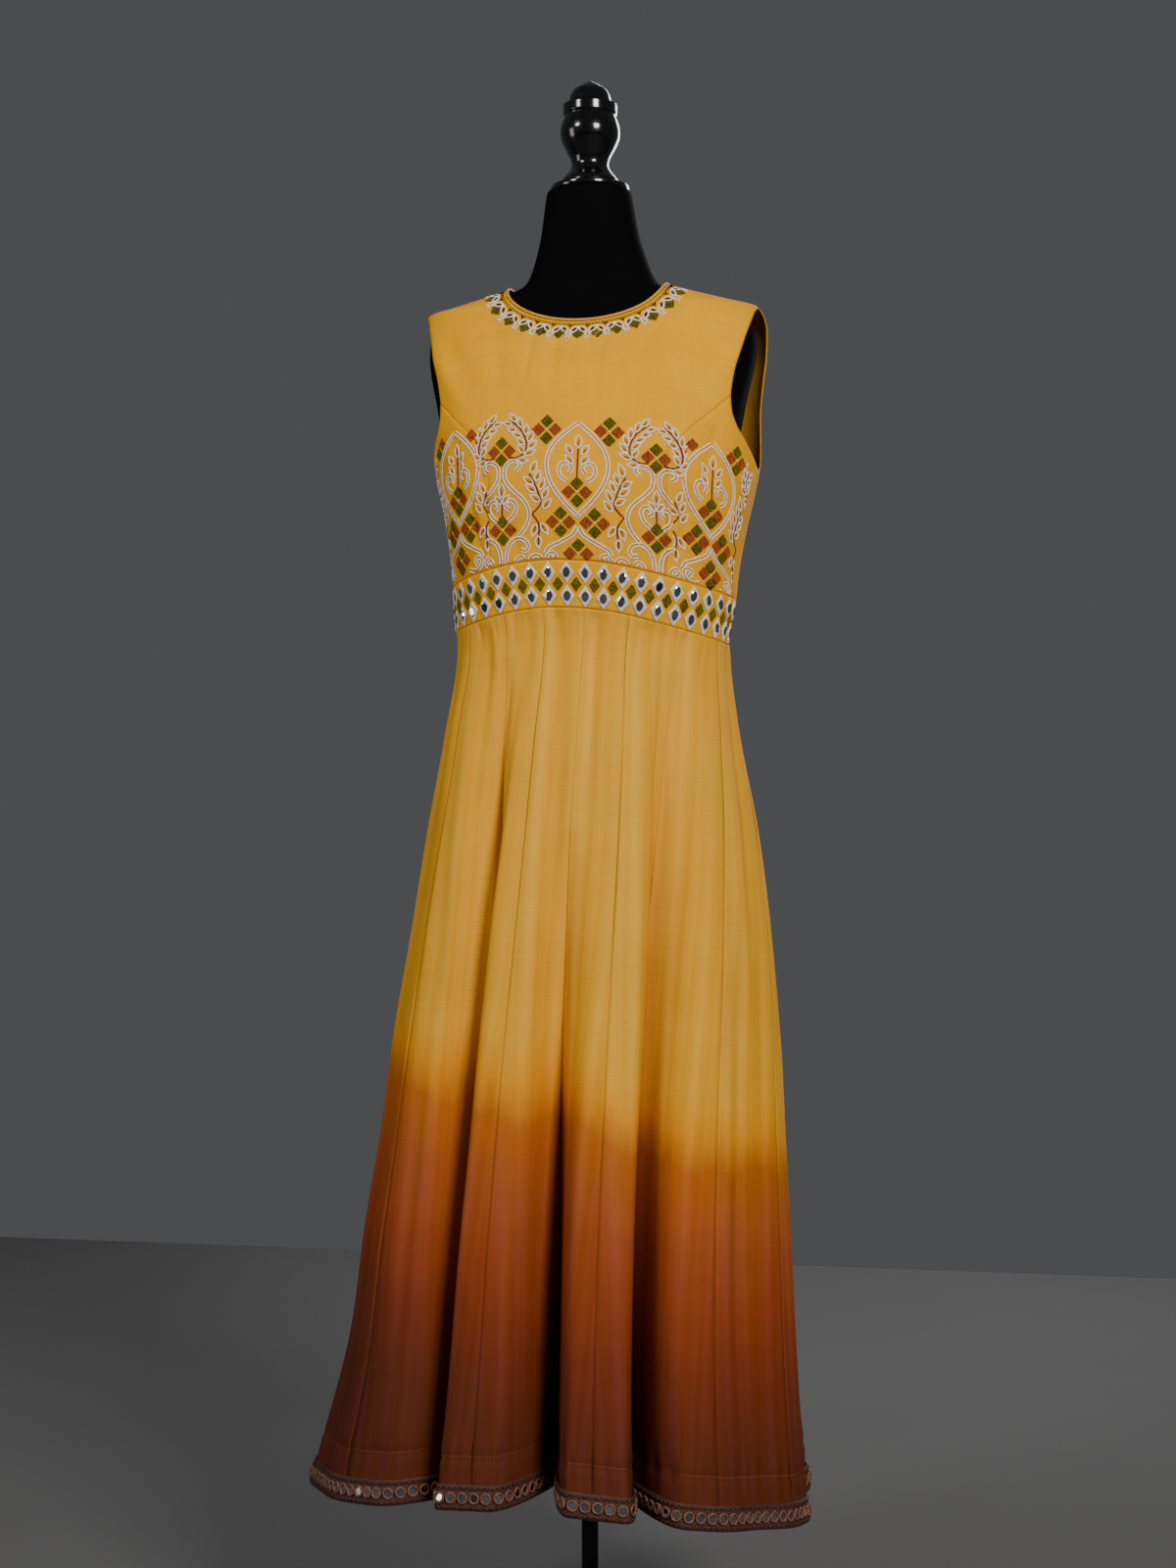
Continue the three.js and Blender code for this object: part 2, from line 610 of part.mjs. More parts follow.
// Level direction that keeps both neighbouring stretches of a row at one distance
function mitre(before, at, after) {
  const facing = (from, to) => new THREE.Vector3(to.y - from.y, from.x - to.x, 0).normalize();
  const first = facing(before, at);
  const second = facing(at, after);
  const reach = 1 + first.dot(second);
  return first.add(second).divideScalar(reach);
}

function skirtRow(t) {
  const points = [];
  for (let k = 0; k < SKIRT_SEAMS.length; k += 1) {
    for (let i = 0; i < KALI_COLUMNS; i += 1) points.push(skirtPoint(k, i / KALI_COLUMNS, t));
  }
  const outward = points.map((point, i) => (
    mitre(points.at(i - 1), point, points[(i + 1) % points.length])
  ));
  return { t, points, outward };
}

function buildKalis() {
  const rows = KALI_ROWS.map(skirtRow);
  for (let k = 0; k < SKIRT_SEAMS.length; k += 1) {
    const outer = [];
    const inner = [];
    for (const { t, points, outward } of rows) {
      const outerRow = [];
      const innerRow = [];
      for (let i = 0; i <= KALI_COLUMNS; i += 1) {
        const at = (k * KALI_COLUMNS + i) % points.length;
        const point = points[at].clone();
        const apart = i === 0 ? SEAM_GAP / 2 : i === KALI_COLUMNS ? -SEAM_GAP / 2 : 0;
        const angle = seamAngle(k + (i > 0 ? 1 : 0), t);
        point.x += Math.cos(angle) * apart;
        point.y += Math.sin(angle) * apart;
        if (t === 0) point.z -= SEAM_GAP / 2;
        outerRow.push(point);
        innerRow.push(point.clone().addScaledVector(outward[at].clone().clampLength(0, MITRE_LIMIT), -CLOTH));
      }
      outer.push(outerRow);
      inner.push(innerRow);
    }
    const number = String(k + 1).padStart(2, '0');
    addPiece(`kali_${number}`, wallBetween(outer, inner), SKIRT_YELLOW);
  }
}

function buildHemTrim() {
  const rows = TAPE_ROWS.map(skirtRow);
  const offset = (amount) => rows.map(({ points, outward }) => (
    points.map((point, i) => point.clone().addScaledVector(outward[i], amount))
  ));
  const geometry = wallBetween(offset(TAPE_CLEARANCE + TAPE_THICKNESS), offset(TAPE_CLEARANCE), { closed: true });
  addPiece('hem_trim', geometry, TRIM_BROWN);
}

// Piping: a cord all round the neck, just above the cut edge of the bodice
function buildNeckPiping() {
  const sides = 8;
  const path = [...neckEdge(-1), ...neckEdge(1).slice(1, -1).reverse()];
  const count = path.length;
  const rings = path.map((point, i) => {
    const along = path[(i + 1) % count].clone().sub(path.at(i - 1)).normalize();
    const outward = outwardAt(point);
    const upward = outward.clone().cross(along).normalize();
    if (upward.dot(new THREE.Vector3(-point.x, -point.y, 40)) < 0) upward.negate();
    const center = point.clone().addScaledVector(outward, PIPING_RADIUS / 5);
    center.addScaledVector(upward, PIPING_RADIUS + PIPING_CLEARANCE);
    const ring = [];
    for (let s = 0; s < sides; s += 1) {
      const turn = (s / sides) * 2 * Math.PI;
      const rim = center.clone().addScaledVector(outward, PIPING_RADIUS * Math.cos(turn));
      ring.push(rim.addScaledVector(upward, PIPING_RADIUS * Math.sin(turn)));
    }
    return ring;
  });
  const triangles = [];
  const at = (i, s) => (i % count) * sides + (s % sides);
  for (let i = 0; i < count; i += 1) {
    for (let s = 0; s < sides; s += 1) {
      triangles.push([at(i, s), at(i + 1, s), at(i + 1, s + 1)], [at(i, s), at(i + 1, s + 1), at(i, s + 1)]);
    }
  }
  addPiece('neck_piping', bodyFromTriangles(rings.flat(), triangles), CLOTH_YELLOW);
}

// Dress form: its shoulders follow the cloth that rests on them, a little below it
function formSections() {
  const drop = CLOTH + SHOULDER_CLEARANCE;
  const both = ({ z, half, front, back, middle }) => ({ z, left: half, right: half, front, back, middle });
  const shoulders = GOWN.filter((row) => row.z >= SHOULDER_TIP_Z).map((row) => ({
    z: row.z - drop,
    left: row.left - (row.z === SHOULDER_TIP_Z ? TIP_CLEARANCE : 0.5),
    right: row.right - (row.z === SHOULDER_TIP_Z ? TIP_CLEARANCE : 0.5),
    front: row.front - SLOPE_CLEARANCE,
    back: row.back - SLOPE_CLEARANCE,
    middle: row.middle,
  }));
  return [...FORM_BODY.map(both), ...shoulders, ...FORM_NECK.map(both)];
}

function buildFormTorso() {
  const sections = formSections();
  const columns = 30;
  const rows = sections.map((row) => (
    steps(columns, 0, 2 * Math.PI, (angle) => ringPoint(sections, row.z, angle)).slice(0, -1)
  ));
  const points = rows.flat();
  const bottom = points.push(new THREE.Vector3(0, 0, FORM_BOTTOM_Z)) - 1;
  const top = points.push(new THREE.Vector3(0, 0, FORM_TOP_Z)) - 1;
  const at = (j, i) => j * columns + (i % columns);
  const lastRow = rows.length - 1;
  const triangles = [];
  for (let i = 0; i < columns; i += 1) {
    triangles.push([bottom, at(0, i + 1), at(0, i)], [top, at(lastRow, i), at(lastRow, i + 1)]);
    for (let j = 0; j < lastRow; j += 1) {
      triangles.push([at(j, i), at(j, i + 1), at(j + 1, i + 1)], [at(j, i), at(j + 1, i + 1), at(j + 1, i)]);
    }
  }
  addPiece('form_torso', bodyFromTriangles(points, triangles), VELVET_BLACK);
}

// A turned piece from a profile of radius and height, closed on the axis
function turned(profile, segments) {
  const bottom = profile[0][1];
  const top = profile[profile.length - 1][1];
  const outline = [[0, bottom], ...profile, [0, top]].map(([radius, z]) => new THREE.Vector2(radius, z));
  return new THREE.LatheGeometry(outline, segments).rotateX(Math.PI / 2);
}

function buildStand() {
  const discBottom = FORM_TOP_Z + REST_GAP;
  const discTop = discBottom + DISC_THICKNESS;
  const rim = 1;
  addPiece('form_neck_disc', turned([
    [DISC_RADIUS - rim, discBottom],
    [DISC_RADIUS, discBottom + rim],
    [DISC_RADIUS, discTop - rim],
    [DISC_RADIUS - rim, discTop],
  ], 32), WOOD_BLACK);
  const finialBottom = discTop + REST_GAP;
  const finial = FINIAL_PROFILE.map(({ rise, radius }) => [radius, finialBottom + rise]);
  finial.push([3, finialBottom + FINIAL_HEIGHT]);
  addPiece('form_finial', turned(finial, 16), WOOD_BLACK);
  const poleBottom = HUB_TOP_Z + REST_GAP;
  const poleTop = FORM_BOTTOM_Z - REST_GAP;
  addPiece('stand_pole', turned([[POLE_RADIUS, poleBottom], [POLE_RADIUS, poleTop]], 20), STEEL_BLACK);
  addPiece('stand_base', turned([
    [BASE_RADIUS, 0],
    [BASE_RADIUS, BASE_THICKNESS * 0.5],
    [BASE_RADIUS - 4, BASE_THICKNESS * 0.85],
    [BASE_RADIUS - 12, BASE_THICKNESS],
    [HUB_RADIUS + 10, BASE_THICKNESS + 4],
    [HUB_RADIUS, BASE_THICKNESS + 12],
    [HUB_RADIUS - 4, HUB_TOP_Z - 3],
    [HUB_RADIUS - 7, HUB_TOP_Z],
  ], 40), STEEL_BLACK);
}

buildFormTorso();
buildStand();
buildFrontCenter();
buildSideFront('bodice_front_left', 1);
buildSideFront('bodice_front_right', -1);
buildBack();
buildWaistband();
buildNeckPiping();
buildKalis();
buildHemTrim();

export default kurti;
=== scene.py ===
# %% [markdown]
# # A panelled kurti on a dress form
#
# This lesson dresses a plain, measured model. The model already holds every piece at its real
# size: the bodice, a mirrored waistband, sixteen flared skirt panels called kalis, and the black
# form that wears them. Here each piece of cloth becomes a thin, creased sheet, and the thread
# work, beads and mirrors are sewn on.

# %% Load the fixed frame
import json
import math
import random

import bpy
import numpy as np
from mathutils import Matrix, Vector

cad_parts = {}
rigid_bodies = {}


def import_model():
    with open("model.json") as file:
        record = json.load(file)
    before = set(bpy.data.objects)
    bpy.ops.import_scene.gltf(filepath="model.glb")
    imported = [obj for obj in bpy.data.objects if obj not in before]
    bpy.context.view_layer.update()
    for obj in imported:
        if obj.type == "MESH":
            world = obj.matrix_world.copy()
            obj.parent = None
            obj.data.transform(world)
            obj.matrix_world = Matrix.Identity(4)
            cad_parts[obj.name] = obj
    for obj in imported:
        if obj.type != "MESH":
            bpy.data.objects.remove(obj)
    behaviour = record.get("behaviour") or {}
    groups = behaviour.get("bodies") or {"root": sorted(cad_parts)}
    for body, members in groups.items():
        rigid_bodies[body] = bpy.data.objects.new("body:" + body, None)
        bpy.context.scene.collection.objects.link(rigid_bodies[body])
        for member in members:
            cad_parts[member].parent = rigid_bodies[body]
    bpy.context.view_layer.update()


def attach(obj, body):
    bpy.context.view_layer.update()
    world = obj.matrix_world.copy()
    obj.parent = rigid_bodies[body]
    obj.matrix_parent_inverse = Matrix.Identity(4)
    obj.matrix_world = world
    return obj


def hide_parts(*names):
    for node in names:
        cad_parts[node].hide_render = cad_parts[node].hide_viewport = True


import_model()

MM = 0.001

# %% [markdown]
# ## Writing materials as sums
#
# A material is a graph of nodes, and long graphs are hard to read as code. A small wrapper lets a
# socket be used in an ordinary expression, so `1 - mask` adds one Math node.

# %% A socket that can be added, multiplied and compared
class Wire:
    """One output of a material's node, which Python expressions can use."""

    def __init__(self, finish, socket):
        self.finish = finish
        self.socket = socket

    def math(self, operation, *others, clamp=False):
        node = self.finish.tree.nodes.new("ShaderNodeMath")
        node.operation = operation
        node.use_clamp = clamp
        for slot, value in enumerate((self, *others)):
            self.finish.feed(node.inputs[slot], value)
        return Wire(self.finish, node.outputs[0])

    def __add__(self, other):
        return self.math("ADD", other)

    def __radd__(self, other):
        return self.math("ADD", other)

    def __sub__(self, other):
        return self.math("SUBTRACT", other)

    def __rsub__(self, other):
        return Wire.math(self * -1, "ADD", other)

    def __mul__(self, other):
        return self.math("MULTIPLY", other)

    def __rmul__(self, other):
        return self.math("MULTIPLY", other)

    def __truediv__(self, other):
        return self.math("DIVIDE", other)

    def __pow__(self, other):
        return self.math("POWER", other)

    def sine(self):
        return self.math("SINE")

    def above(self, edge, softness):
        """0 below the edge and 1 above it, with a soft step between."""
        return ((self - edge) / softness + 0.5).math("ADD", 0.0, clamp=True)


class Finish:
    """A material that is written as a few expressions."""

    def __init__(self, name, color, roughness, metallic=0.0):
        self.material = bpy.data.materials.new(name)
        self.material.use_nodes = True
        self.material.diffuse_color = (*color, 1)
        self.tree = self.material.node_tree
        self.shader = self.tree.nodes["Principled BSDF"]
        self.set("Base Color", (*color, 1))
        self.set("Roughness", roughness)
        self.set("Metallic", metallic)

    def set(self, socket, value):
        self.shader.inputs[socket].default_value = value

    def feed(self, socket, value):
        if isinstance(value, Wire):
            self.tree.links.new(value.socket, socket)
        else:
            socket.default_value = value

    def node(self, kind, settings=None, output=0, **inputs):
        node = self.tree.nodes.new(kind)
        for name, value in (settings or {}).items():
            setattr(node, name, value)
        for name, value in inputs.items():
            self.feed(node.inputs[name.replace("_", " ")], value)
        return Wire(self, node.outputs[output])

    def place(self, output="Object"):
        return self.node("ShaderNodeTexCoord", output=output)

    def axes(self, place):
        node = self.tree.nodes.new("ShaderNodeSeparateXYZ")
        self.feed(node.inputs[0], place)
        return [Wire(self, socket) for socket in node.outputs]

    def scaled(self, place, scale):
        return self.node("ShaderNodeMapping", Vector=place, Scale=scale)

    def noise(self, place, scale, detail=2.0, roughness=0.5):
        return self.node("ShaderNodeTexNoise", Vector=place, Scale=scale, Detail=detail, Roughness=roughness)

    def mix(self, share, first, second, blend="MIX"):
        node = self.tree.nodes.new("ShaderNodeMix")
        node.data_type = "RGBA"
        node.blend_type = blend
        self.feed(node.inputs[0], share)
        self.feed(node.inputs[6], first if isinstance(first, Wire) else (*first, 1))
        self.feed(node.inputs[7], second if isinstance(second, Wire) else (*second, 1))
        return Wire(self, node.outputs[2])

    def ramp(self, share, stops):
        node = self.tree.nodes.new("ShaderNodeValToRGB")
        elements = node.color_ramp.elements
        while len(elements) < len(stops):
            elements.new(0.5)
        for element, (position, color) in zip(elements, stops):
            element.position = position
            element.color = (*color, 1)
        self.feed(node.inputs[0], share)
        return Wire(self, node.outputs[0])

    def color(self, value):
        self.feed(self.shader.inputs["Base Color"], value)

    def rough(self, value):
        self.feed(self.shader.inputs["Roughness"], value)

    def bump(self, height, distance, strength=1.0):
        node = self.tree.nodes.new("ShaderNodeBump")
        node.inputs["Strength"].default_value = strength
        node.inputs["Distance"].default_value = distance
        self.feed(node.inputs["Height"], height)
        self.tree.links.new(node.outputs[0], self.shader.inputs["Normal"])


def srgb(red, green, blue):
    """A colour, from screen values to the linear ones that light uses."""
    def linear(value):
        share = value / 255
        return share / 12.92 if share <= 0.04045 else ((share + 0.055) / 1.055) ** 2.4
    return (linear(red), linear(green), linear(blue))


print("materials are written with Finish and Wire")

# %% [markdown]
# ## The cloth
#
# The cloth is a thin cotton and silk weave with slubs, which are short thick stretches of thread.
# They show as fine streaks across the bodice. Woven threads are far finer than any mesh, so they
# are bump and colour, driven by each sheet's own UV map, in metres of cloth.

# %% Slub cloth
def slub_weave(finish):
    """Bumps the threads and returns how light the cloth is, from 0 to 1: slub streaks, and broad clouds that
    are partly painted shade of soft wrinkles. V runs up the cloth.
    """
    cloth = finish.place("UV")
    across_slubs = finish.noise(finish.scaled(cloth, (14, 620, 1)), 1.0, 3.0, 0.65)
    upright_slubs = finish.noise(finish.scaled(cloth, (620, 16, 1)), 1.0, 3.0, 0.65)
    # Broad clouds of tone, partly painted shade of soft wrinkles.
    cloud_and_wrinkle_shade = finish.noise(finish.scaled(cloth, (9, 16, 1)), 1.0, 3.0)
    u, v, _ = finish.axes(cloth)
    threads = (u * 9000).sine() * 0.5 + (v * 9000).sine() * 0.5
    streaks = across_slubs * 0.6 + upright_slubs * 0.4
    finish.bump(streaks * 0.8 + threads * 0.12, 0.00035, 0.6)
    finish.rough(streaks * 0.2 + 0.62)
    finish.set("Specular IOR Level", 0.1)
    return (streaks * 1.1 + cloud_and_wrinkle_shade * 0.5 - 0.3).above(0.5, 0.8)


def bodice_finish():
    finish = Finish("bodice_cloth", srgb(214, 156, 30), 0.75)
    finish.color(finish.mix(slub_weave(finish), (0.6, 0.25, 0.0), (0.9, 0.44, 0.0)))
    return finish.material


DIP_START = 0.68
DIP_TILT = 0.22
DIP_SPAN = 0.45
HEM_STITCH_RISE = 0.0526
# Colours of the dip dye, yellow to brown. The darkest stops toward the hem hold the dye's brown and also
# painted shade of the lower skirt.
DYE_AND_SHADE_STOPS = [
    (0.0, srgb(229, 174, 48)),
    (0.07, srgb(229, 158, 26)),
    (0.155, srgb(188, 108, 34)),
    (0.31, srgb(168, 88, 48)),
    (0.47, srgb(152, 72, 40)),
    (0.64, srgb(124, 58, 38)),
    (0.82, srgb(100, 48, 34)),
    (1.0, srgb(93, 45, 33)),
]


def skirt_finish():
    """Yellow above, dipped through orange to dark brown toward the hem. The darkest browns also hold painted
    shade, and faint stripes are painted shade and light of gathers.
    """
    finish = Finish("skirt_cloth", srgb(210, 164, 70), 0.75)
    # Slub streaks and broad clouds, the clouds partly painted wrinkle shade.
    weave_and_wrinkle_shade = slub_weave(finish)
    # Painted shade and painted light of crushed gathers: faint upright stripes, a little darker and lighter.
    gather_shade_stripes = finish.noise(finish.scaled(finish.place("UV"), (64, 0.7, 1)), 1.0, 2.0, 0.5).above(0.5, 0.3)
    place = finish.place()
    x, _, z = finish.axes(place)
    wander = finish.noise(finish.scaled(place, (8, 8, 2.5)), 1.0, 4.0, 0.6)
    fine = finish.noise(finish.scaled(place, (70, 70, 14)), 1.0, 3.0, 0.7)
    depth = z * -1 - x * DIP_TILT + DIP_START + (wander - 0.5) * 0.12 + (fine - 0.5) * 0.02
    # The dye ramp; its darkest browns are partly painted shade.
    dye_and_shade = finish.ramp(depth / DIP_SPAN, DYE_AND_SHADE_STOPS)
    # The painted gather shade and light multiply the dye.
    dye_with_gather_shade = finish.mix(1.0, dye_and_shade, finish.mix(gather_shade_stripes, (0.88, 0.77, 0.3), (1.04, 1, 1.2)), "MULTIPLY")
    dyed_and_shaded = finish.mix(1.0, dye_with_gather_shade, finish.mix(weave_and_wrinkle_shade, (0.8, 0.75, 0.55), (1.07, 1.07, 1.06)), "MULTIPLY")
    u, v, _ = finish.axes(finish.place("UV"))
    line = 1 - (v - HEM_STITCH_RISE).math("ABSOLUTE").above(0.0006, 0.0004)
    stitches = line * (u * 1600).sine().above(-0.3, 0.4)
    finish.color(finish.mix(stitches * 0.45, dyed_and_shaded, srgb(150, 84, 56)))
    return finish.material


BODICE_CLOTH = bodice_finish()
SKIRT_CLOTH = skirt_finish()
print("slub cloth:", BODICE_CLOTH.name, SKIRT_CLOTH.name)

# %% [markdown]
# ## The shape of the body
#
# Every level section of the garment is a rounded rectangle, given by how far it reaches to the
# left, right, front and back of the pole. The table holds the sections from the hem up to the
# neck, in millimetres, and a smooth curve runs through its rows.

# %% Sections of the worn garment
FULLNESS = 2.35
SECTION_COLUMNS = ("z", "left", "right", "front", "back", "middle")
GOWN_ROWS = [
    (180, 307, 240, 221, 231, 0),
    (220, 298, 236, 216, 225, 0),
    (277, 282, 231, 211, 219, 0),
    (382, 256, 224, 200, 207, 0),
    (487, 242, 218, 190, 196, 0),
    (592, 224, 211, 178, 183, 0),
    (698, 210, 204.5, 165, 169, 0),
    (802, 192, 196, 150, 153, 0),
    (907, 175, 181, 134, 136, 0),
    (1012, 156, 161, 118, 118, 0),
    (1107, 142, 149, 103, 96, 0),
    (1144, 144, 155, 107, 97, 0),
    (1188, 147, 160, 113, 99, 0),
    (1231, 152, 168, 119, 101, 0),
    (1265, 159, 176, 123, 103, 0),
    (1291, 165, 181, 124, 105, 2),
    (1330, 172, 186, 119, 107, 4),
    (1361, 176, 187, 112, 107, 6),
    (1390, 181, 189, 103, 104, 8),
    (1420, 186, 191, 90, 97, 12),
    (1445, 185, 190, 76, 86, 14),
    (1458, 182, 186, 70, 79, 15),
    (1466, 180, 180, 67, 74, 16),
    (1472, 158, 158, 65, 71, 16),
    (1478, 135, 135, 63, 68, 16),
    (1484, 112, 112, 61, 65, 16),
    (1491, 87, 87, 59, 62, 16),
]


def smooth_column(heights, values):
    """A function that reads a table's column at any height, without overshoot."""
    z = np.array(heights, float)
    value = np.array(values, float)
    rise = np.diff(value) / np.diff(z)
    slope = np.zeros_like(value)
    slope[0], slope[-1] = rise[0], rise[-1]
    before, after = rise[:-1], rise[1:]
    turning = before * after > 0
    slope[1:-1][turning] = (2 * before * after)[turning] / (before + after)[turning]

    def read(height):
        level = np.clip(height, z[0], z[-1])
        row = np.clip(np.searchsorted(z, level, side="right") - 1, 0, len(z) - 2)
        span = z[row + 1] - z[row]
        s = (level - z[row]) / span
        start = (1 + 2 * s) * (1 - s) ** 2
        bend = s * (1 - s) ** 2 * span * slope[row] + s * s * (s - 1) * span * slope[row + 1]
        return start * value[row] + (1 - start) * value[row + 1] + bend
    return read


GOWN = {
    name: smooth_column([row[0] for row in GOWN_ROWS], [row[column] for row in GOWN_ROWS])
    for column, name in enumerate(SECTION_COLUMNS)
}


def unit(vectors):
    return vectors / np.linalg.norm(vectors, axis=-1, keepdims=True)


def walked(path):
    """How far along a row of points each one lies."""
    return np.concatenate([[0], np.cumsum(np.linalg.norm(np.diff(path, axis=0), axis=-1))])


def ring_point(z, angle):
    """Points of the cloth's outside at a height and an angle from the front, toward +X."""
    side = np.where(np.sin(angle) < 0, GOWN["left"](z), GOWN["right"](z))
    depth = np.where(np.cos(angle) > 0, GOWN["front"](z), GOWN["back"](z))
    across = np.abs(np.sin(angle)) / side
    along = np.abs(np.cos(angle)) / depth
    radius = (across ** FULLNESS + along ** FULLNESS) ** (-1 / FULLNESS)
    return np.stack([radius * np.sin(angle), GOWN["middle"](z) - radius * np.cos(angle), z + 0 * angle], -1)


def face_point(x, z, face):
    """Points of the front (-1) or the back (1) above a place on the chest's plane."""
    share = np.abs(x) / np.where(x < 0, GOWN["left"](z), GOWN["right"](z))
    rest = np.maximum(0, 1 - share ** FULLNESS) ** (1 / FULLNESS)
    depth = GOWN["front"](z) if face < 0 else GOWN["back"](z)
    return np.stack([x + 0 * z, GOWN["middle"](z) + face * depth * rest, z + 0 * x], -1)


def outward_at(points):
    """Unit directions that face away from the body."""
    def level(x, y, z):
        across = np.abs(x) / np.where(x < 0, GOWN["left"](z), GOWN["right"](z))
        depth = np.where(y < GOWN["middle"](z), GOWN["front"](z), GOWN["back"](z))
        return across ** FULLNESS + (np.abs(y - GOWN["middle"](z)) / depth) ** FULLNESS
    x, y, z = points[..., 0], points[..., 1], points[..., 2]
    step = 0.05
    slope = np.stack([
        level(x + step, y, z) - level(x - step, y, z),
        level(x, y + step, z) - level(x, y - step, z),
        level(x, y, z + step) - level(x, y, z - step),
    ], -1)
    return unit(slope)


BUST_Z = 1346
print("the bust section is", round(float(GOWN["left"](BUST_Z) + GOWN["right"](BUST_Z))), "mm wide")

# %% [markdown]
# ## From a grid of points to a sheet of cloth
#
# Cloth is one of the few things that is easier to make from points than by hand: the pattern
# piece is a grid, and its UV map is the flat cloth in metres, measured along the grid's lines.
# Solidify then gives it a thickness on the inside, which leaves the measured outside alone.

# %% Sheets of cloth
CLOTH_THICKNESS = 0.9
SHEETS = []


def cloth_lengths(grid):
    """Lengths of cloth from the left edge and from the bottom edge to every grid point."""
    across = np.linalg.norm(np.diff(grid, axis=1), axis=-1)
    upward = np.linalg.norm(np.diff(grid, axis=0), axis=-1)
    from_left = np.concatenate([np.zeros((len(grid), 1)), np.cumsum(across, axis=1)], axis=1)
    from_bottom = np.concatenate([np.zeros((1, grid.shape[1])), np.cumsum(upward, axis=0)], axis=0)
    return from_left, from_bottom


def flat_map(grid):
    """The flat cloth under every grid point, in metres, counted from the middle of its row."""
    u, v = cloth_lengths(grid)
    return (u - u[:, -1:] / 2) * MM, np.broadcast_to(v.mean(axis=1, keepdims=True), v.shape) * MM


def new_piece(name, mesh, material):
    piece = bpy.data.objects.new(name, mesh)
    bpy.context.scene.collection.objects.link(piece)
    piece.data.materials.append(material)
    return piece


def sheet_from_grid(name, grid, material, thickness=CLOTH_THICKNESS, closed=False):
    """Makes a cloth sheet whose rows run upward and whose columns run toward +X in front."""
    rows, columns = grid.shape[:2]
    index = np.arange(rows * columns).reshape(rows, columns)
    if closed:
        index = np.concatenate([index, index[:, :1]], axis=1)
    corners = np.stack([index[:-1, :-1], index[:-1, 1:], index[1:, 1:], index[1:, :-1]], -1).reshape(-1, 4)
    mesh = bpy.data.meshes.new(name)
    mesh.from_pydata((grid.reshape(-1, 3) * MM).tolist(), [], corners.tolist())
    wrapped = np.concatenate([grid, grid[:, :1]], axis=1) if closed else grid
    flat = np.stack(flat_map(wrapped), -1)
    cells = np.stack([flat[:-1, :-1], flat[:-1, 1:], flat[1:, 1:], flat[1:, :-1]], -2)
    layer = mesh.uv_layers.new(name="cloth")
    layer.data.foreach_set("uv", cells.reshape(-1).astype(np.float32))
    mesh.shade_smooth()
    piece = new_piece(name, mesh, material)
    wall = piece.modifiers.new("thickness", "SOLIDIFY")
    wall.thickness = thickness * MM
    wall.offset = -1
    apply_modifiers(piece)
    return piece


def only(piece):
    """Selects one piece, because an operator acts on all that is selected."""
    bpy.ops.object.select_all(action="DESELECT")
    piece.select_set(True)
    bpy.context.view_layer.objects.active = piece


def apply_modifiers(piece):
    only(piece)
    for modifier in list(piece.modifiers):
        bpy.ops.object.modifier_apply(modifier=modifier.name)


def sheet_area(grid):
    """Area of the grid's cells in square metres."""
    first = np.cross(grid[:-1, 1:] - grid[:-1, :-1], grid[1:, 1:] - grid[:-1, :-1])
    second = np.cross(grid[1:, 1:] - grid[:-1, :-1], grid[1:, :-1] - grid[:-1, :-1])
    return float((np.linalg.norm(first, axis=-1) + np.linalg.norm(second, axis=-1)).sum() / 2) * MM * MM


def dress(piece, node, area=None):
    """Puts a sheet in its node's place and hides the node. The area, the cut of its cloth, is not used."""
    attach(piece, "root")
    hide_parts(node)
    SHEETS.append(piece.name)


print("cloth sheets are", CLOTH_THICKNESS, "mm thick")

# %% [markdown]
# ## Cutting lines of the bodice
#
# Two pieces that are sewn together share one line, so each seam is worked out once. The waist
# seam dips toward the sides. The princess seam runs from the waistband over the bust and out to
# the armhole.

# %% Shared edges
WAIST_Z = 1141
WAIST_SIDE_DIP = 28
WAIST_TILT = 6
BAND_HEIGHT = 48
UNDERARM_Z = 1291
PRINCESS_TOP_Z = 1361
SHOULDER_TIP_Z = 1466
NECK_POINT_Z = 1491
NECK_HALF_WIDTH = 87
FRONT_NECK_DROP = 48
BACK_NECK_DROP = 14
QUARTER = math.pi / 2

ARMHOLE_SHARES = {
    -1: smooth_column(
        [1291, 1299, 1306, 1317, 1331, 1346, 1361, 1383, 1415, 1440, 1455, 1466],
        [1, 0.985, 0.965, 0.93, 0.885, 0.858, 0.85, 0.855, 0.88, 0.915, 0.95, 1],
    ),
    1: smooth_column(
        [1291, 1306, 1331, 1361, 1383, 1415, 1440, 1455, 1466],
        [1, 0.985, 0.965, 0.958, 0.962, 0.972, 0.982, 0.99, 1],
    ),
}
PRINCESS_SHARES = smooth_column(
    [1170, 1188, 1265, 1296, 1320, 1340, 1361],
    [0.6, 0.6, 0.557, 0.54, 0.63, 0.74, 0.85],
)


def waist_seam(angle):
    to_side = np.where(np.cos(angle) > 0, np.abs(np.sin(angle)) ** 2.4, 1)
    return WAIST_Z - WAIST_SIDE_DIP * to_side - WAIST_TILT * np.sin(angle)


def band_top(angle):
    return ring_point(waist_seam(angle) + BAND_HEIGHT, angle)


def angle_of(points):
    return np.arctan2(points[..., 0], GOWN["middle"](points[..., 2]) - points[..., 1])


def half_width(z, side):
    return GOWN["left"](z) if side < 0 else GOWN["right"](z)


def armhole_edge(count, from_z, side, face):
    s = np.linspace(0, 1, count + 1)
    z = SHOULDER_TIP_Z + (from_z - SHOULDER_TIP_Z) * (1 - s) ** 2.2
    return face_point(side * ARMHOLE_SHARES[face](z) * half_width(z, side), z, face)


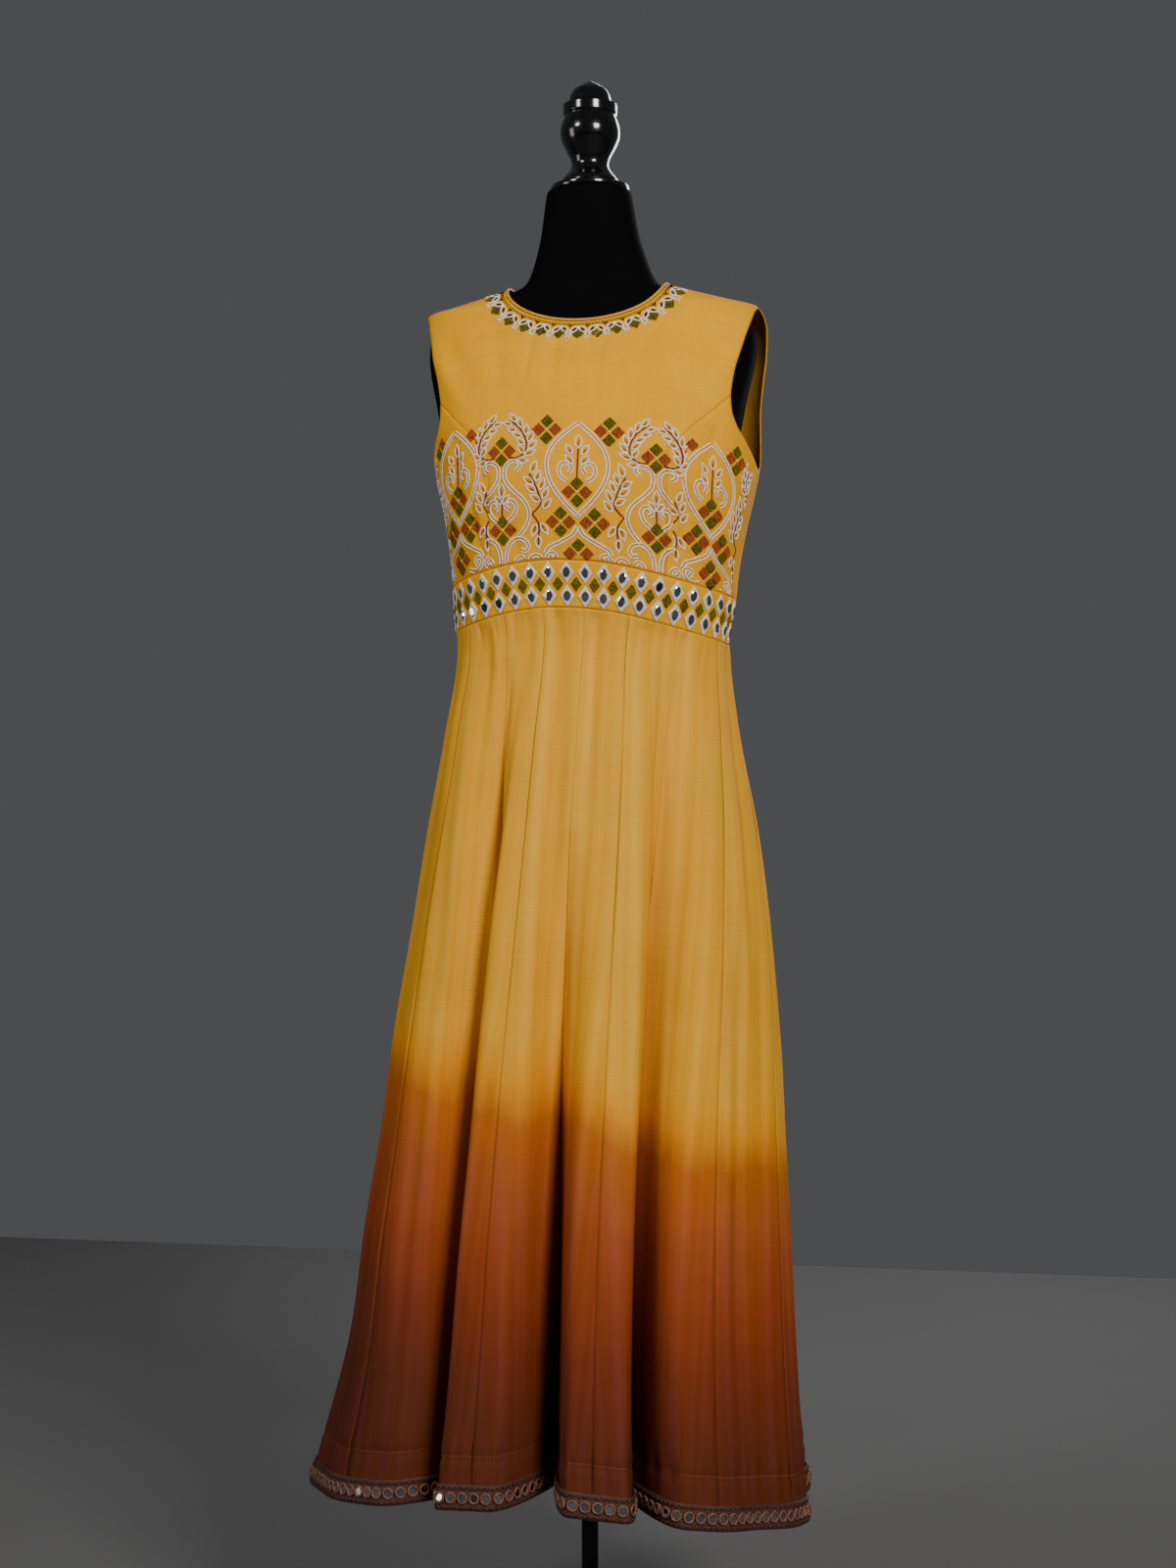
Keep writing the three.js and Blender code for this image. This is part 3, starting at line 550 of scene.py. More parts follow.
def princess_edge(count, side):
    foot = WAIST_Z + BAND_HEIGHT
    for _ in range(8):
        x = side * PRINCESS_SHARES(foot) * half_width(foot, side)
        foot = waist_seam(angle_of(face_point(x, np.float64(foot), -1))) + BAND_HEIGHT
    z = np.linspace(foot, PRINCESS_TOP_Z, count + 1)
    return face_point(side * PRINCESS_SHARES(z) * half_width(z, side), z, -1)


def side_seam_edge(count, side):
    foot = band_top(np.float64(side * QUARTER))[2]
    z = np.linspace(foot, UNDERARM_Z, count + 1)
    return face_point(side * half_width(z, side), z, -1)


def shoulder_edge(count, side):
    z = np.linspace(SHOULDER_TIP_Z, NECK_POINT_Z, count + 1)
    return face_point(side * half_width(z, side), z, -1)


def neck_edge(count, face):
    drop = FRONT_NECK_DROP if face < 0 else BACK_NECK_DROP
    s = np.linspace(-1, 1, count + 1)
    turn = np.sign(s) * (1 - (1 - np.abs(s)) ** 2.2) * QUARTER
    return face_point(NECK_HALF_WIDTH * np.sin(turn), NECK_POINT_Z - drop * np.cos(turn), face)


def top_edge(shoulder_count, neck_count, face):
    right, left = shoulder_edge(shoulder_count, -1), shoulder_edge(shoulder_count, 1)[::-1]
    return np.concatenate([right, neck_edge(neck_count, face)[1:-1], left])


def fill_between(bottom, top, left, right):
    """Spreads a grid of 2-D points between four edges, spaced as the left edge's heights."""
    v = ((left[:, 1] - left[0, 1]) / (left[-1, 1] - left[0, 1]))[:, None, None]
    u = np.linspace(0, 1, len(bottom))[None, :, None]
    grid = (1 - u) * left[:, None] + u * right[:, None] + (1 - v) * bottom[None] + v * top[None]
    corners = (1 - u) * (1 - v) * bottom[0] + u * (1 - v) * bottom[-1]
    return grid - corners - (1 - u) * v * top[0] - u * v * top[-1]


XZ = (0, 2)
print("the princess seam starts", round(float(princess_edge(4, 1)[0, 0])), "mm from the middle")

# %% [markdown]
# ## Creases
#
# Cloth that hangs from a gathered neckline shows short upright folds, and the armholes and the
# side of the bust pull slanting ones. Each crease here is a soft trough along a short line, in its
# own length, width and depth, because equal creases look machine made.

# %% Creases of the bodice front
# Columns: x and z of one end, x and z of the other end, width and depth.
CREASE_STRENGTH = 1.5
FRONT_CREASES = [
    (-49, 1440, -52, 1372, 3.2, 1.5),
    (-40, 1438, -41, 1395, 2.4, -0.7),
    (-24, 1436, -23, 1352, 3.6, 1.9),
    (-14, 1436, -15, 1380, 3.0, -1.0),
    (-4, 1432, -3, 1340, 3.0, 1.0),
    (10, 1434, 9, 1372, 2.6, 0.9),
    (22, 1436, 24, 1345, 4.0, 1.6),
    (34, 1438, 37, 1378, 3.0, -0.8),
    (44, 1440, 48, 1358, 3.6, 1.1),
    (-92, 1446, -76, 1362, 9.0, 1.0),
    (84, 1452, 66, 1360, 10.0, 0.9),
    (-150, 1440, -112, 1372, 11.0, 1.6),
    (-158, 1415, -118, 1345, 8.0, -1.1),
    (152, 1430, 122, 1366, 12.0, 1.4),
    (-34, 1322, -30, 1262, 7.0, 0.7),
    (38, 1316, 34, 1256, 8.0, 0.7),
    (-96, 1300, -90, 1226, 4.0, 1.2),
    (-110, 1262, -98, 1196, 3.4, 1.3),
    (104, 1290, 98, 1210, 4.0, 1.1),
    (122, 1262, 108, 1192, 3.6, 1.2),
    (-130, 1322, -118, 1240, 5.0, 1.3),
    (146, 1330, 132, 1250, 5.0, 1.3),
    (-60, 1228, -56, 1188, 4.0, 0.8),
    (60, 1226, 58, 1190, 4.0, 0.8),
]
BACK_CREASES = [
    (-30, 1462, -34, 1392, 9.0, 0.9),
    (34, 1462, 36, 1386, 10.0, 0.9),
    (-120, 1440, -96, 1352, 13.0, 1.5),
    (124, 1438, 100, 1356, 13.0, 1.5),
    (-70, 1260, -60, 1150, 11.0, 1.5),
    (66, 1264, 58, 1146, 12.0, 1.4),
    (-112, 1230, -104, 1140, 7.0, 1.5),
    (114, 1226, 108, 1140, 7.0, 1.4),
    (-8, 1236, 0, 1132, 9.0, 1.0),
    (-140, 1290, -110, 1250, 7.0, 1.3),
    (146, 1292, 116, 1254, 7.0, 1.3),
]


def crease_depth(points, creases):
    """How far each point sinks, in millimetres. A negative depth is a ridge."""
    x, z = points[..., 0], points[..., 2]
    sunk = np.zeros_like(x)
    for x0, z0, x1, z1, width, depth in creases:
        length = math.hypot(x1 - x0, z1 - z0)
        along = ((x - x0) * (x1 - x0) + (z - z0) * (z1 - z0)) / length
        aside = ((x - x0) * (z1 - z0) - (z - z0) * (x1 - x0)) / length
        start = np.clip(along / (0.3 * length) + 0.3, 0, 1)
        ends = start * np.clip((length - along) / (0.45 * length) + 0.2, 0, 1)
        ends = np.where((along < -0.1 * length) | (along > 1.1 * length), 0, ends * ends * (3 - 2 * ends))
        sunk += CREASE_STRENGTH * depth * np.exp(-(aside / width) ** 2) * ends
    return sunk


SEAM_DIP = 0.5
SEAM_DIP_WIDTH = 2.5


def seam_dip(grid, sides):
    """A sewn edge turns in a little: how far the points beside the named sides sink."""
    from_left, from_bottom = cloth_lengths(grid)
    reach = {
        "left": from_left,
        "right": from_left[:, -1:] - from_left,
        "bottom": from_bottom,
    }
    return sum(SEAM_DIP * np.exp(-(reach[side] / SEAM_DIP_WIDTH) ** 2) for side in sides)


def sink(grid, amount):
    return grid - outward_at(grid) * amount[..., None]


def pressed(grid, creases, sides):
    """Sinks the creases and the sewn edges of a panel into its cloth."""
    return sink(grid, crease_depth(grid, creases) + seam_dip(grid, sides))


print(len(FRONT_CREASES), "creases in front and", len(BACK_CREASES), "behind")

# %% [markdown]
# ## Bodice panels
#
# Four pattern pieces make the bodice: a wide centre front that reaches the shoulders, two side
# fronts and a plain back. Each grid is finer than the measured solid but lies on the same surface.

# %% Sew the bodice
def build_front_center():
    princess_rows, arm_rows = 52, 56
    right, left = (
        np.concatenate([
            princess_edge(princess_rows, side),
            armhole_edge(arm_rows, PRINCESS_TOP_Z, side, -1)[1:],
        ])
        for side in (1, -1)
    )
    top = top_edge(24, 72, -1)
    bottom = band_top(np.linspace(angle_of(left[0]), angle_of(right[0]), len(top)))
    flat = fill_between(bottom[:, XZ], top[:, XZ], left[:, XZ], right[:, XZ])
    grid = face_point(flat[..., 0], flat[..., 1], -1)
    grid = pressed(grid, FRONT_CREASES, ("left", "right", "bottom"))
    piece = sheet_from_grid("bodice_front_center_cloth", grid, BODICE_CLOTH)
    dress(piece, "bodice_front_center", area=sheet_area(grid))


def build_side_front(node, side):
    rows, columns = 64, 36
    inner = princess_edge(rows, side)
    outer = side_seam_edge(rows, side)
    z = np.linspace(PRINCESS_TOP_Z, UNDERARM_Z, columns + 1)
    top = face_point(side * ARMHOLE_SHARES[-1](z) * half_width(z, side), z, -1)
    bottom = band_top(np.linspace(angle_of(inner[0]), side * QUARTER, columns + 1))
    edges = [np.stack([angle_of(edge), edge[:, 2]], -1) for edge in (bottom, top, inner, outer)]
    flat = fill_between(*edges)
    grid = ring_point(flat[..., 1], flat[..., 0])
    if side < 0:
        grid = grid[:, ::-1]
    grid = pressed(grid, FRONT_CREASES, ("left", "right", "bottom"))
    piece = sheet_from_grid(node + "_cloth", grid, BODICE_CLOTH)
    dress(piece, node, area=sheet_area(grid))


def build_back():
    top = top_edge(20, 56, 1)
    turn = np.linspace(-QUARTER, QUARTER, len(top))
    waist_rows, rib_rows = 12, 34
    edges = []
    for side in (-1, 1):
        angle = np.float64(side * QUARTER)
        seam = side_seam_edge(rib_rows, side)[:, 2]
        edges.append(np.concatenate([np.linspace(waist_seam(angle), seam[0], waist_rows + 1), seam[1:]]))
    share = (1 + np.sin(turn)) / 2
    heights = edges[0][:, None] * (1 - share) + edges[1][:, None] * share
    lower = ring_point(heights, np.broadcast_to(math.pi - turn, heights.shape))
    left = armhole_edge(48, UNDERARM_Z, -1, 1)
    right = armhole_edge(48, UNDERARM_Z, 1, 1)
    flat = fill_between(lower[-1][:, XZ], top[:, XZ], left[:, XZ], right[:, XZ])
    upper = face_point(flat[1:, :, 0], flat[1:, :, 1], 1)
    grid = np.concatenate([lower, upper])[:, ::-1]
    grid = pressed(grid, BACK_CREASES, ("bottom",))
    piece = sheet_from_grid("bodice_back_cloth", grid, BODICE_CLOTH)
    dress(piece, "bodice_back", area=sheet_area(grid))


build_front_center()
build_side_front("bodice_front_left", 1)
build_side_front("bodice_front_right", -1)
build_back()
print("bodice sewn:", SHEETS)

# %% [markdown]
# ## Waistband
#
# The band under the bust is a straight strip that curves round the front. Its mirrors come later,
# so here it is only cloth, with a fine ridge along both stitched edges.

# %% Waistband strip
MIRRORS_PER_ROW = 22
MIRROR_ROWS = 2
MIRROR_WIDTH = 15.4
MIRROR_HEIGHT = 21.8


def band_angles(shares):
    """Angles that cut the front of the band by its own length."""
    angle = np.linspace(-QUARTER, QUARTER, 2001)
    length = walked(band_top(angle))
    return np.interp(np.asarray(shares) * length[-1], length, angle)


def band_point(share, rise):
    angle = band_angles(share)
    return ring_point(waist_seam(angle) + rise, angle)


BAND_COLUMNS, BAND_ROWS = 241, 17
RIDGE_INSET = 1.2
RIDGE_WIDTH = 0.9


def build_waistband():
    shares, rises = np.meshgrid(np.linspace(0, 1, BAND_COLUMNS), np.linspace(0, BAND_HEIGHT, BAND_ROWS))
    grid = band_point(shares, rises)
    low_ridge = np.exp(-((rises - RIDGE_INSET) / RIDGE_WIDTH) ** 2)
    edge_ridge = low_ridge + np.exp(-((BAND_HEIGHT - RIDGE_INSET - rises) / RIDGE_WIDTH) ** 2)
    pucker = 0.25 * np.sin(shares * 391 + 2 * np.sin(shares * 57)) * np.abs(rises / BAND_HEIGHT - 0.5)
    grid = sink(grid, pucker - 0.5 * edge_ridge)
    piece = sheet_from_grid("waistband_cloth", grid, BODICE_CLOTH)
    dress(piece, "waistband_front", area=sheet_area(grid))


build_waistband()
band_line = band_point(np.linspace(0, 1, 400), np.full(400, float(BAND_HEIGHT)))
BAND_LENGTH = float(np.linalg.norm(np.diff(band_line, axis=0), axis=1).sum())
print("the band is", round(BAND_LENGTH), "mm long over the front")

# %% [markdown]
# ## Kalis
#
# A kali is a long wedge of cloth. Sixteen of them flare from the waist seam. Some seams fall into
# deep folds between rounded lobes, so each seam has its own depth, and the cloth between two
# seams turns toward the deeper one. Shallow troughs, placed one by one, break the smooth lobes.

# %% Skirt seams and the shape between them
HEM_Z = 200
HEM_FRONT_LIFT = 42
HEM_TILT = 8
FOLD_START = 0.24
FOLD_LINGER = 0.12
PINCH_GROWTH = 0.45
SOFT_RIPPLE = 8
SEAM_COLUMNS = ("waist", "hem", "depth", "start", "growth", "pinch")
SKIRT_SEAMS = [
    (-82, -84, 0, 0, 1.15, 1),
    (-59.5, -57, 0, 0, 1.15, 1),
    (-37.5, -36.5, 106, 0.05, 0.88, 3.2),
    (-16, -22, 0, 0, 1.15, 1),
    (7, -6.5, 112, 0.25, 0.9, 1.7),
    (30.5, 10.5, 0, 0, 1.15, 1),
    (53, 26, 108, 0.05, 0.88, 3.2),
    (75.5, 43, 0, 0, 1.15, 1),
    (98, 70, 0, 0, 1.15, 1),
    (120.5, 97, 60, 0, 1.15, 2),
    (143, 122, 0, 0, 1.15, 1),
    (165.5, 147, 70, 0, 1.15, 2),
    (188, 171, 0, 0, 1.15, 1),
    (210.5, 196, 70, 0, 1.15, 2),
    (233, 222, 0, 0, 1.15, 1),
    (255.5, 250, 70, 0, 1.15, 2),
]
KALI_COUNT = len(SKIRT_SEAMS)


def skirt_seam(k):
    return dict(zip(SEAM_COLUMNS, SKIRT_SEAMS[k % KALI_COUNT]))


def seam_angle(k, t):
    seam = skirt_seam(k)
    swing = 1 - (1 - t) ** 2
    return np.radians(seam["waist"] + (seam["hem"] - seam["waist"]) * swing + k // KALI_COUNT * 360)


def hem_height(angle):
    return HEM_Z + HEM_FRONT_LIFT * np.maximum(0, np.cos(angle)) ** 1.3 - HEM_TILT * np.sin(angle)


def toward_fold(k, u, t):
    """How far a kali has turned toward a fold, and how deep it lies there."""
    seam = skirt_seam(k)
    bend = 1 + (seam["pinch"] - 1) * t ** PINCH_GROWTH
    share = (1 - FOLD_LINGER) * (1 - (1 - u) ** bend) + FOLD_LINGER * u ** 4
    reach = np.maximum(0, (t - seam["start"]) / (1 - seam["start"])) ** seam["growth"]
    ease = np.clip((u - FOLD_START) / (1 - FOLD_START), 0, 1)
    return share, seam["depth"] * reach * ease * ease * (3 - 2 * ease)


def skirt_point(k, u, t):
    """Points of kali k, where u runs across it and t from the waist down to the hem."""
    if skirt_seam(k + 1)["depth"] > 0:
        share, depth = toward_fold(k + 1, u, t)
    elif skirt_seam(k)["depth"] > 0:
        share, depth = toward_fold(k, 1 - u, t)
        share = 1 - share
    else:
        share, depth = u, SOFT_RIPPLE * t * np.sin(math.pi * u) ** 2
    angle = seam_angle(k, t) * (1 - share) + seam_angle(k + 1, t) * share
    z = waist_seam(angle) * (1 - t) + hem_height(angle) * t
    point = ring_point(z, angle)
    radius = np.hypot(point[..., 0], point[..., 1])
    point[..., :2] *= ((radius - depth) / radius)[..., None]
    return point


def level_normals(grid):
    """Unit directions out of the cloth, from the grid's own neighbours."""
    across = np.gradient(grid, axis=1)
    upward = np.gradient(grid, axis=0)
    return unit(np.cross(across, upward))


print(KALI_COUNT, "kalis, with", sum(row[2] > 0 for row in SKIRT_SEAMS), "deep folds")

# %% Soft troughs of the skirt
# Each trough runs down one kali. Columns: the kali's number, the place across it at the trough's
# top and foot, the place from waist to hem of its top and foot, its width and its depth.
KALI_TROUGHS = [
    (1, 0.34, 0.30, 0.05, 0.46, 11, 2.6),
    (1, 0.72, 0.64, 0.16, 0.80, 13, 3.0),
    (2, 0.50, 0.40, 0.00, 0.34, 8, 1.8),
    (2, 0.22, 0.26, 0.30, 0.92, 14, 3.2),
    (2, 0.78, 0.84, 0.10, 0.52, 9, -1.8),
    (3, 0.62, 0.50, 0.02, 0.38, 9, 2.0),
    (3, 0.30, 0.34, 0.22, 0.76, 12, 2.4),
    (4, 0.40, 0.46, 0.00, 0.30, 8, 1.8),
    (4, 0.70, 0.62, 0.12, 0.62, 12, 2.6),
    (5, 0.28, 0.34, 0.00, 0.20, 6, 1.6),
    (5, 0.60, 0.52, 0.10, 0.48, 10, -1.8),
    (6, 0.24, 0.30, 0.00, 0.16, 5, 1.7),
    (6, 0.46, 0.50, 0.00, 0.22, 5, 1.6),
    (6, 0.70, 0.66, 0.00, 0.30, 6, 1.6),
    (7, 0.40, 0.42, 0.04, 0.56, 12, 2.6),
    (7, 0.72, 0.64, 0.34, 0.94, 12, 2.4),
    (8, 0.50, 0.46, 0.02, 0.42, 11, 2.4),
    (8, 0.28, 0.36, 0.36, 0.90, 14, 3.2),
    (9, 0.36, 0.40, 0.02, 0.50, 12, 2.6),
    (9, 0.74, 0.66, 0.20, 0.86, 12, 2.2),
    (10, 0.60, 0.52, 0.04, 0.58, 11, 2.4),
    (11, 0.44, 0.50, 0.00, 0.36, 9, 2.0),
    (11, 0.26, 0.30, 0.34, 0.90, 13, 2.8),
    (12, 0.54, 0.48, 0.02, 0.66, 12, 2.6),
    (13, 0.38, 0.42, 0.00, 0.40, 10, 2.2),
    (13, 0.70, 0.60, 0.30, 0.88, 12, 2.6),
    (14, 0.50, 0.56, 0.02, 0.56, 11, 2.4),
    (15, 0.42, 0.36, 0.00, 0.44, 10, 2.2),
    (15, 0.68, 0.72, 0.38, 0.92, 12, 2.8),
    (16, 0.52, 0.46, 0.02, 0.60, 11, 2.4),
    (16, 0.24, 0.30, 0.26, 0.82, 10, 1.8),
]
TROUGH_STRENGTH = 1.35
# Columns: the kali's number, the place across it and the length down from the waist.
WAIST_TUCKS = [
    (1, 0.2, 0.05), (1, 0.62, 0.07), (2, 0.3, 0.045), (2, 0.74, 0.06), (3, 0.24, 0.05), (3, 0.58, 0.035),
    (4, 0.32, 0.05), (4, 0.8, 0.06), (5, 0.18, 0.04), (5, 0.5, 0.06), (5, 0.84, 0.045), (6, 0.2, 0.07),
    (6, 0.36, 0.05), (6, 0.54, 0.075), (6, 0.76, 0.055), (7, 0.16, 0.05), (7, 0.6, 0.06), (8, 0.44, 0.05),
    (9, 0.3, 0.06), (10, 0.52, 0.05), (11, 0.4, 0.06), (12, 0.62, 0.05), (13, 0.34, 0.06), (14, 0.5, 0.05),
    (15, 0.46, 0.06), (16, 0.3, 0.05), (16, 0.7, 0.06),
]


def smooth_share(value):
    share = np.clip(value, 0, 1)
    return share * share * (3 - 2 * share)


SEAM_GROOVE = 0.4
GROOVE_WIDTH = 2.6
TUCK_DEPTH = 1.3
FINE_RIPPLE, FINE_RIPPLE_WIDTH = 0.75, 6.3
BROAD_RIPPLE, BROAD_RIPPLE_WIDTH = 0.95, 10.7


def kali_relief(number, u, t, width):
    """How far a kali's cloth sinks at each point, in millimetres."""
    left_groove = SEAM_GROOVE * np.exp(-(u * width / GROOVE_WIDTH) ** 2)
    sunk = left_groove + SEAM_GROOVE * np.exp(-((1 - u) * width / GROOVE_WIDTH) ** 2)
    across = (u - 0.5) * width
    drift = 6 * np.sin(2.3 * t + number)
    fine = np.sin(across / FINE_RIPPLE_WIDTH + drift + 1.9 * number)
    sunk = sunk + FINE_RIPPLE * fine * smooth_share(1.3 - 1.6 * t)
    broad = np.sin(across / BROAD_RIPPLE_WIDTH - 0.7 * drift + number)
    sunk = sunk + BROAD_RIPPLE * broad * smooth_share(u * 6) * smooth_share((1 - u) * 6)
    for kali, u_top, u_low, t_top, t_low, reach, depth in KALI_TROUGHS:
        if kali == number:
            along = (t - t_top) / (t_low - t_top)
            middle = u_top + (u_low - u_top) * along
            ends = smooth_share(along * 3.5 + 0.4) * smooth_share((1 - along) * 2.5)
            sunk = sunk + TROUGH_STRENGTH * depth * ends * np.exp(-((u - middle) * width / reach) ** 2)
    for kali, at, length in WAIST_TUCKS:
        if kali == number:
            tuck = TUCK_DEPTH * np.exp(-((u - at) * width / GROOVE_WIDTH) ** 2)
            sunk = sunk + tuck * smooth_share(1 - t / length)
    return sunk * smooth_share(t * 60 + 0.2)


def cut_width(number, t):
    """Width of a kali at t along its own surface, in millimetres."""
    line = skirt_point(number - 1, np.linspace(0, 1, 60), np.full(60, t))
    return float(np.linalg.norm(np.diff(line, axis=0), axis=1).sum())


KALI_LENGTH = 940
HEM_STITCH_T = 0.944
STITCH_LINE, STITCH_LINE_WIDTH = 1.4, 4.0
PUCKER, PUCKER_WIDTH = 1.2, 17


def hem_pucker(number, u, t):
    """The stitched hem fold draws the cloth in along a line about 55 mm above the edge."""
    above_line = (t - HEM_STITCH_T) * KALI_LENGTH
    ruffle = np.sin(u * 31 + number * 1.7 + 2.2 * np.sin(u * 11 + number))
    line = STITCH_LINE * np.exp(-(above_line / STITCH_LINE_WIDTH) ** 2)
    return line + PUCKER * ruffle * np.exp(-(above_line / PUCKER_WIDTH) ** 2)


KALI_COLUMNS, KALI_ROWS = 34, 124
ROW_CROWDING = 0.11


def kali_grid(number):
    """Rows climb from the hem to the waist. They crowd together near the waist tucks and the hem."""
    even = np.linspace(0, 1, KALI_ROWS)
    t_line = even - ROW_CROWDING * np.sin(2 * math.pi * even)
    u, t = np.meshgrid(np.linspace(0, 1, KALI_COLUMNS), t_line[::-1])
    grid = skirt_point(number - 1, u, t)
    widths = np.interp(t, [0, 0.5, 1], [cut_width(number, level) for level in (0, 0.5, 1)])
    sunk = kali_relief(number, u, t, widths) + hem_pucker(number, u, t)
    return grid - level_normals(grid) * sunk[..., None]


def build_kali(number):
    grid = kali_grid(number)
    name = f"kali_{number:02d}"
    piece = sheet_from_grid(name + "_cloth", grid, SKIRT_CLOTH)
    hem = cut_width(number, 1) * MM
    dress(piece, name, area=sheet_area(grid))


for number in range(1, KALI_COUNT + 1):
    build_kali(number)
print("kalis at the hem:", [round(cut_width(number, 1)) for number in range(1, KALI_COUNT + 1)], "mm")

# %% [markdown]
# ## Hem tape
#
# A braided tape is stitched round the edge. It is one closed strip that follows every fold. Its
# base is woven cloth here, and its mirrors are sewn on further down.

# %% Hem tape
TAPE_TOP_T = 0.972
TAPE_OFFSET = 1.5
TAPE_THICKNESS = 1.0


def skirt_ring(t):
    u = np.arange(KALI_COLUMNS) / KALI_COLUMNS
    return np.concatenate([skirt_point(k, u, np.full(KALI_COLUMNS, t)) for k in range(KALI_COUNT)])


def level_outward(ring):
    """Level directions out of a closed row of points."""
    along = np.roll(ring, -1, axis=0) - np.roll(ring, 1, axis=0)
    return unit(np.stack([along[:, 1], -along[:, 0], np.zeros(len(ring))], -1))


def tape_finish():
    finish = Finish("hem_tape", srgb(66, 38, 30), 0.6)
    u, v, _ = finish.axes(finish.place("UV"))
    braid = (u * 2600 + (v * 2100).sine() * 1.2).sine() * 0.5 + 0.5
    finish.color(finish.mix(braid, srgb(40, 22, 19), srgb(92, 54, 40)))
    finish.bump(braid, 0.0005, 0.8)
    return finish.material


HEM_TAPE = tape_finish()


def build_hem_tape():
    rows = []
    for t in np.linspace(1, TAPE_TOP_T, 9):
        ring = skirt_ring(t)
        rows.append(ring + level_outward(ring) * TAPE_OFFSET)
    grid = np.stack(rows)
    piece = sheet_from_grid("hem_tape_cloth", grid, HEM_TAPE, TAPE_THICKNESS, closed=True)
    edge = np.concatenate([grid[0], grid[0][:1]])
    length = float(np.linalg.norm(np.diff(edge, axis=0), axis=1).sum()) * MM
    dress(piece, "hem_trim", area=None)
    return length


print("the tape is", round(build_hem_tape(), 2), "m long")

# %% [markdown]
# ## Piping
#
# A cord covered with the bodice cloth finishes the neck. It is one tube along the neckline.

# %% Neck piping
PIPING_RADIUS = 1.5
PIPING_CLEARANCE = 0.6
PIPING_SIDES = 12


def ring_tube(path, radius, sides, outward, upward):
    """Points of a closed tube: one ring of points for every place on its path."""
    turn = np.arange(sides) / sides * 2 * math.pi
    reach = np.cos(turn)[None, :, None] * outward[:, None] + np.sin(turn)[None, :, None] * upward[:, None]
    return path[:, None] + reach * radius


def build_piping():
    front, back = neck_edge(120, -1), neck_edge(120, 1)
    edge = np.concatenate([front, back[1:-1][::-1]])
    along = unit(np.roll(edge, -1, axis=0) - np.roll(edge, 1, axis=0))
    outward = outward_at(edge)
    upward = unit(np.cross(outward, along))
    toward_middle = np.stack([-edge[:, 0], -edge[:, 1], np.full(len(edge), 40.0)], -1)
    upward *= np.sign((upward * toward_middle).sum(-1, keepdims=True))
    path = edge + outward * PIPING_RADIUS / 5 + upward * (PIPING_RADIUS + PIPING_CLEARANCE)
    rings = ring_tube(path, PIPING_RADIUS, PIPING_SIDES, outward, upward)
    count, sides = rings.shape[:2]
    index = np.arange(count * sides).reshape(count, sides)
    ahead, beside = np.roll(index, -1, axis=0), np.roll(index, -1, axis=1)
    corners = np.stack([index, ahead, np.roll(ahead, -1, axis=1), beside], -1).reshape(-1, 4)
    mesh = bpy.data.meshes.new("neck_piping_cord")
    mesh.from_pydata((rings.reshape(-1, 3) * MM).tolist(), [], corners.tolist())
    mesh.shade_smooth()
    piece = new_piece("neck_piping_cord", mesh, BODICE_CORD)
    only(piece)
    bpy.ops.object.mode_set(mode="EDIT")
    bpy.ops.mesh.select_all(action="SELECT")
    bpy.ops.mesh.normals_make_consistent(inside=False)
    bpy.ops.object.mode_set(mode="OBJECT")
    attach(piece, "root")
    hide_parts("neck_piping")
    return float(np.linalg.norm(np.diff(np.concatenate([path, path[:1]]), axis=0), axis=1).sum())


def cord_finish():
    """The bodice cloth cut on the bias, so its threads slant round the cord."""
    finish = Finish("piping_cloth", srgb(206, 148, 28), 0.7)
    x, y, z = finish.axes(finish.place())
    slant = (x * 2400 + y * 1700 + z * 2400).sine() * 0.5 + 0.5
    finish.color(finish.mix(slant, srgb(184, 126, 16), srgb(222, 166, 42)))
    finish.bump(slant, 0.0003, 0.5)
    return finish.material


BODICE_CORD = cord_finish()
print("piping:", round(build_piping()), "mm")

# %% [markdown]
# ## A flat chart of the front
#
# Embroidery is drawn on flat cloth before it is sewn, so its pattern is easiest to write on a
# flat chart. The chart's first number is the way round the front, in millimetres of cloth, and its
# second is the height. A table turns both into a place on the body.

# %% From the chart to the body
CHART_REACH = 290
CHART_LOW, CHART_HIGH = 1100, 1492
CHART_ANGLE = 1.75
CHART_STEPS = 350
CHART_REACHES = np.arange(-CHART_REACH, CHART_REACH + 1)


def make_chart():
    """The angle from the front for every millimetre round the cloth, at every height."""
    heights = np.arange(CHART_LOW, CHART_HIGH + 1).astype(float)
    angle = np.linspace(-CHART_ANGLE, CHART_ANGLE, 2 * CHART_STEPS + 1)
    levels, angles = np.meshgrid(heights, angle, indexing="ij")
    length, _ = cloth_lengths(ring_point(levels, angles))
    length -= length[:, CHART_STEPS:CHART_STEPS + 1]
    return np.stack([np.interp(CHART_REACHES, row, angle) for row in length])


CHART = make_chart()


def read_between(table, row, column):
    """Reads a table between its rows and columns."""
    i, j = row.astype(int), np.minimum(column.astype(int), table.shape[1] - 2)
    up, aside = row - i, column - j
    if table.ndim > 2:
        up, aside = up[..., None], aside[..., None]
    low = table[i, j] * (1 - aside) + table[i, j + 1] * aside
    high = table[i + 1, j] * (1 - aside) + table[i + 1, j + 1] * aside
    return low * (1 - up) + high * up


def chart_angle(s, z):
    row = np.clip(z - CHART_LOW, 0, len(CHART) - 1.001)
    column = np.clip(s + CHART_REACH, 0, CHART.shape[1] - 1.001)
    return read_between(CHART, row, column)


def on_front(s, z):
    """Places on the creased cloth of the front and the directions out of it."""
    points = ring_point(z, chart_angle(s, z))
    outward = outward_at(points)
    return points - outward * crease_depth(points, FRONT_CREASES)[..., None], outward


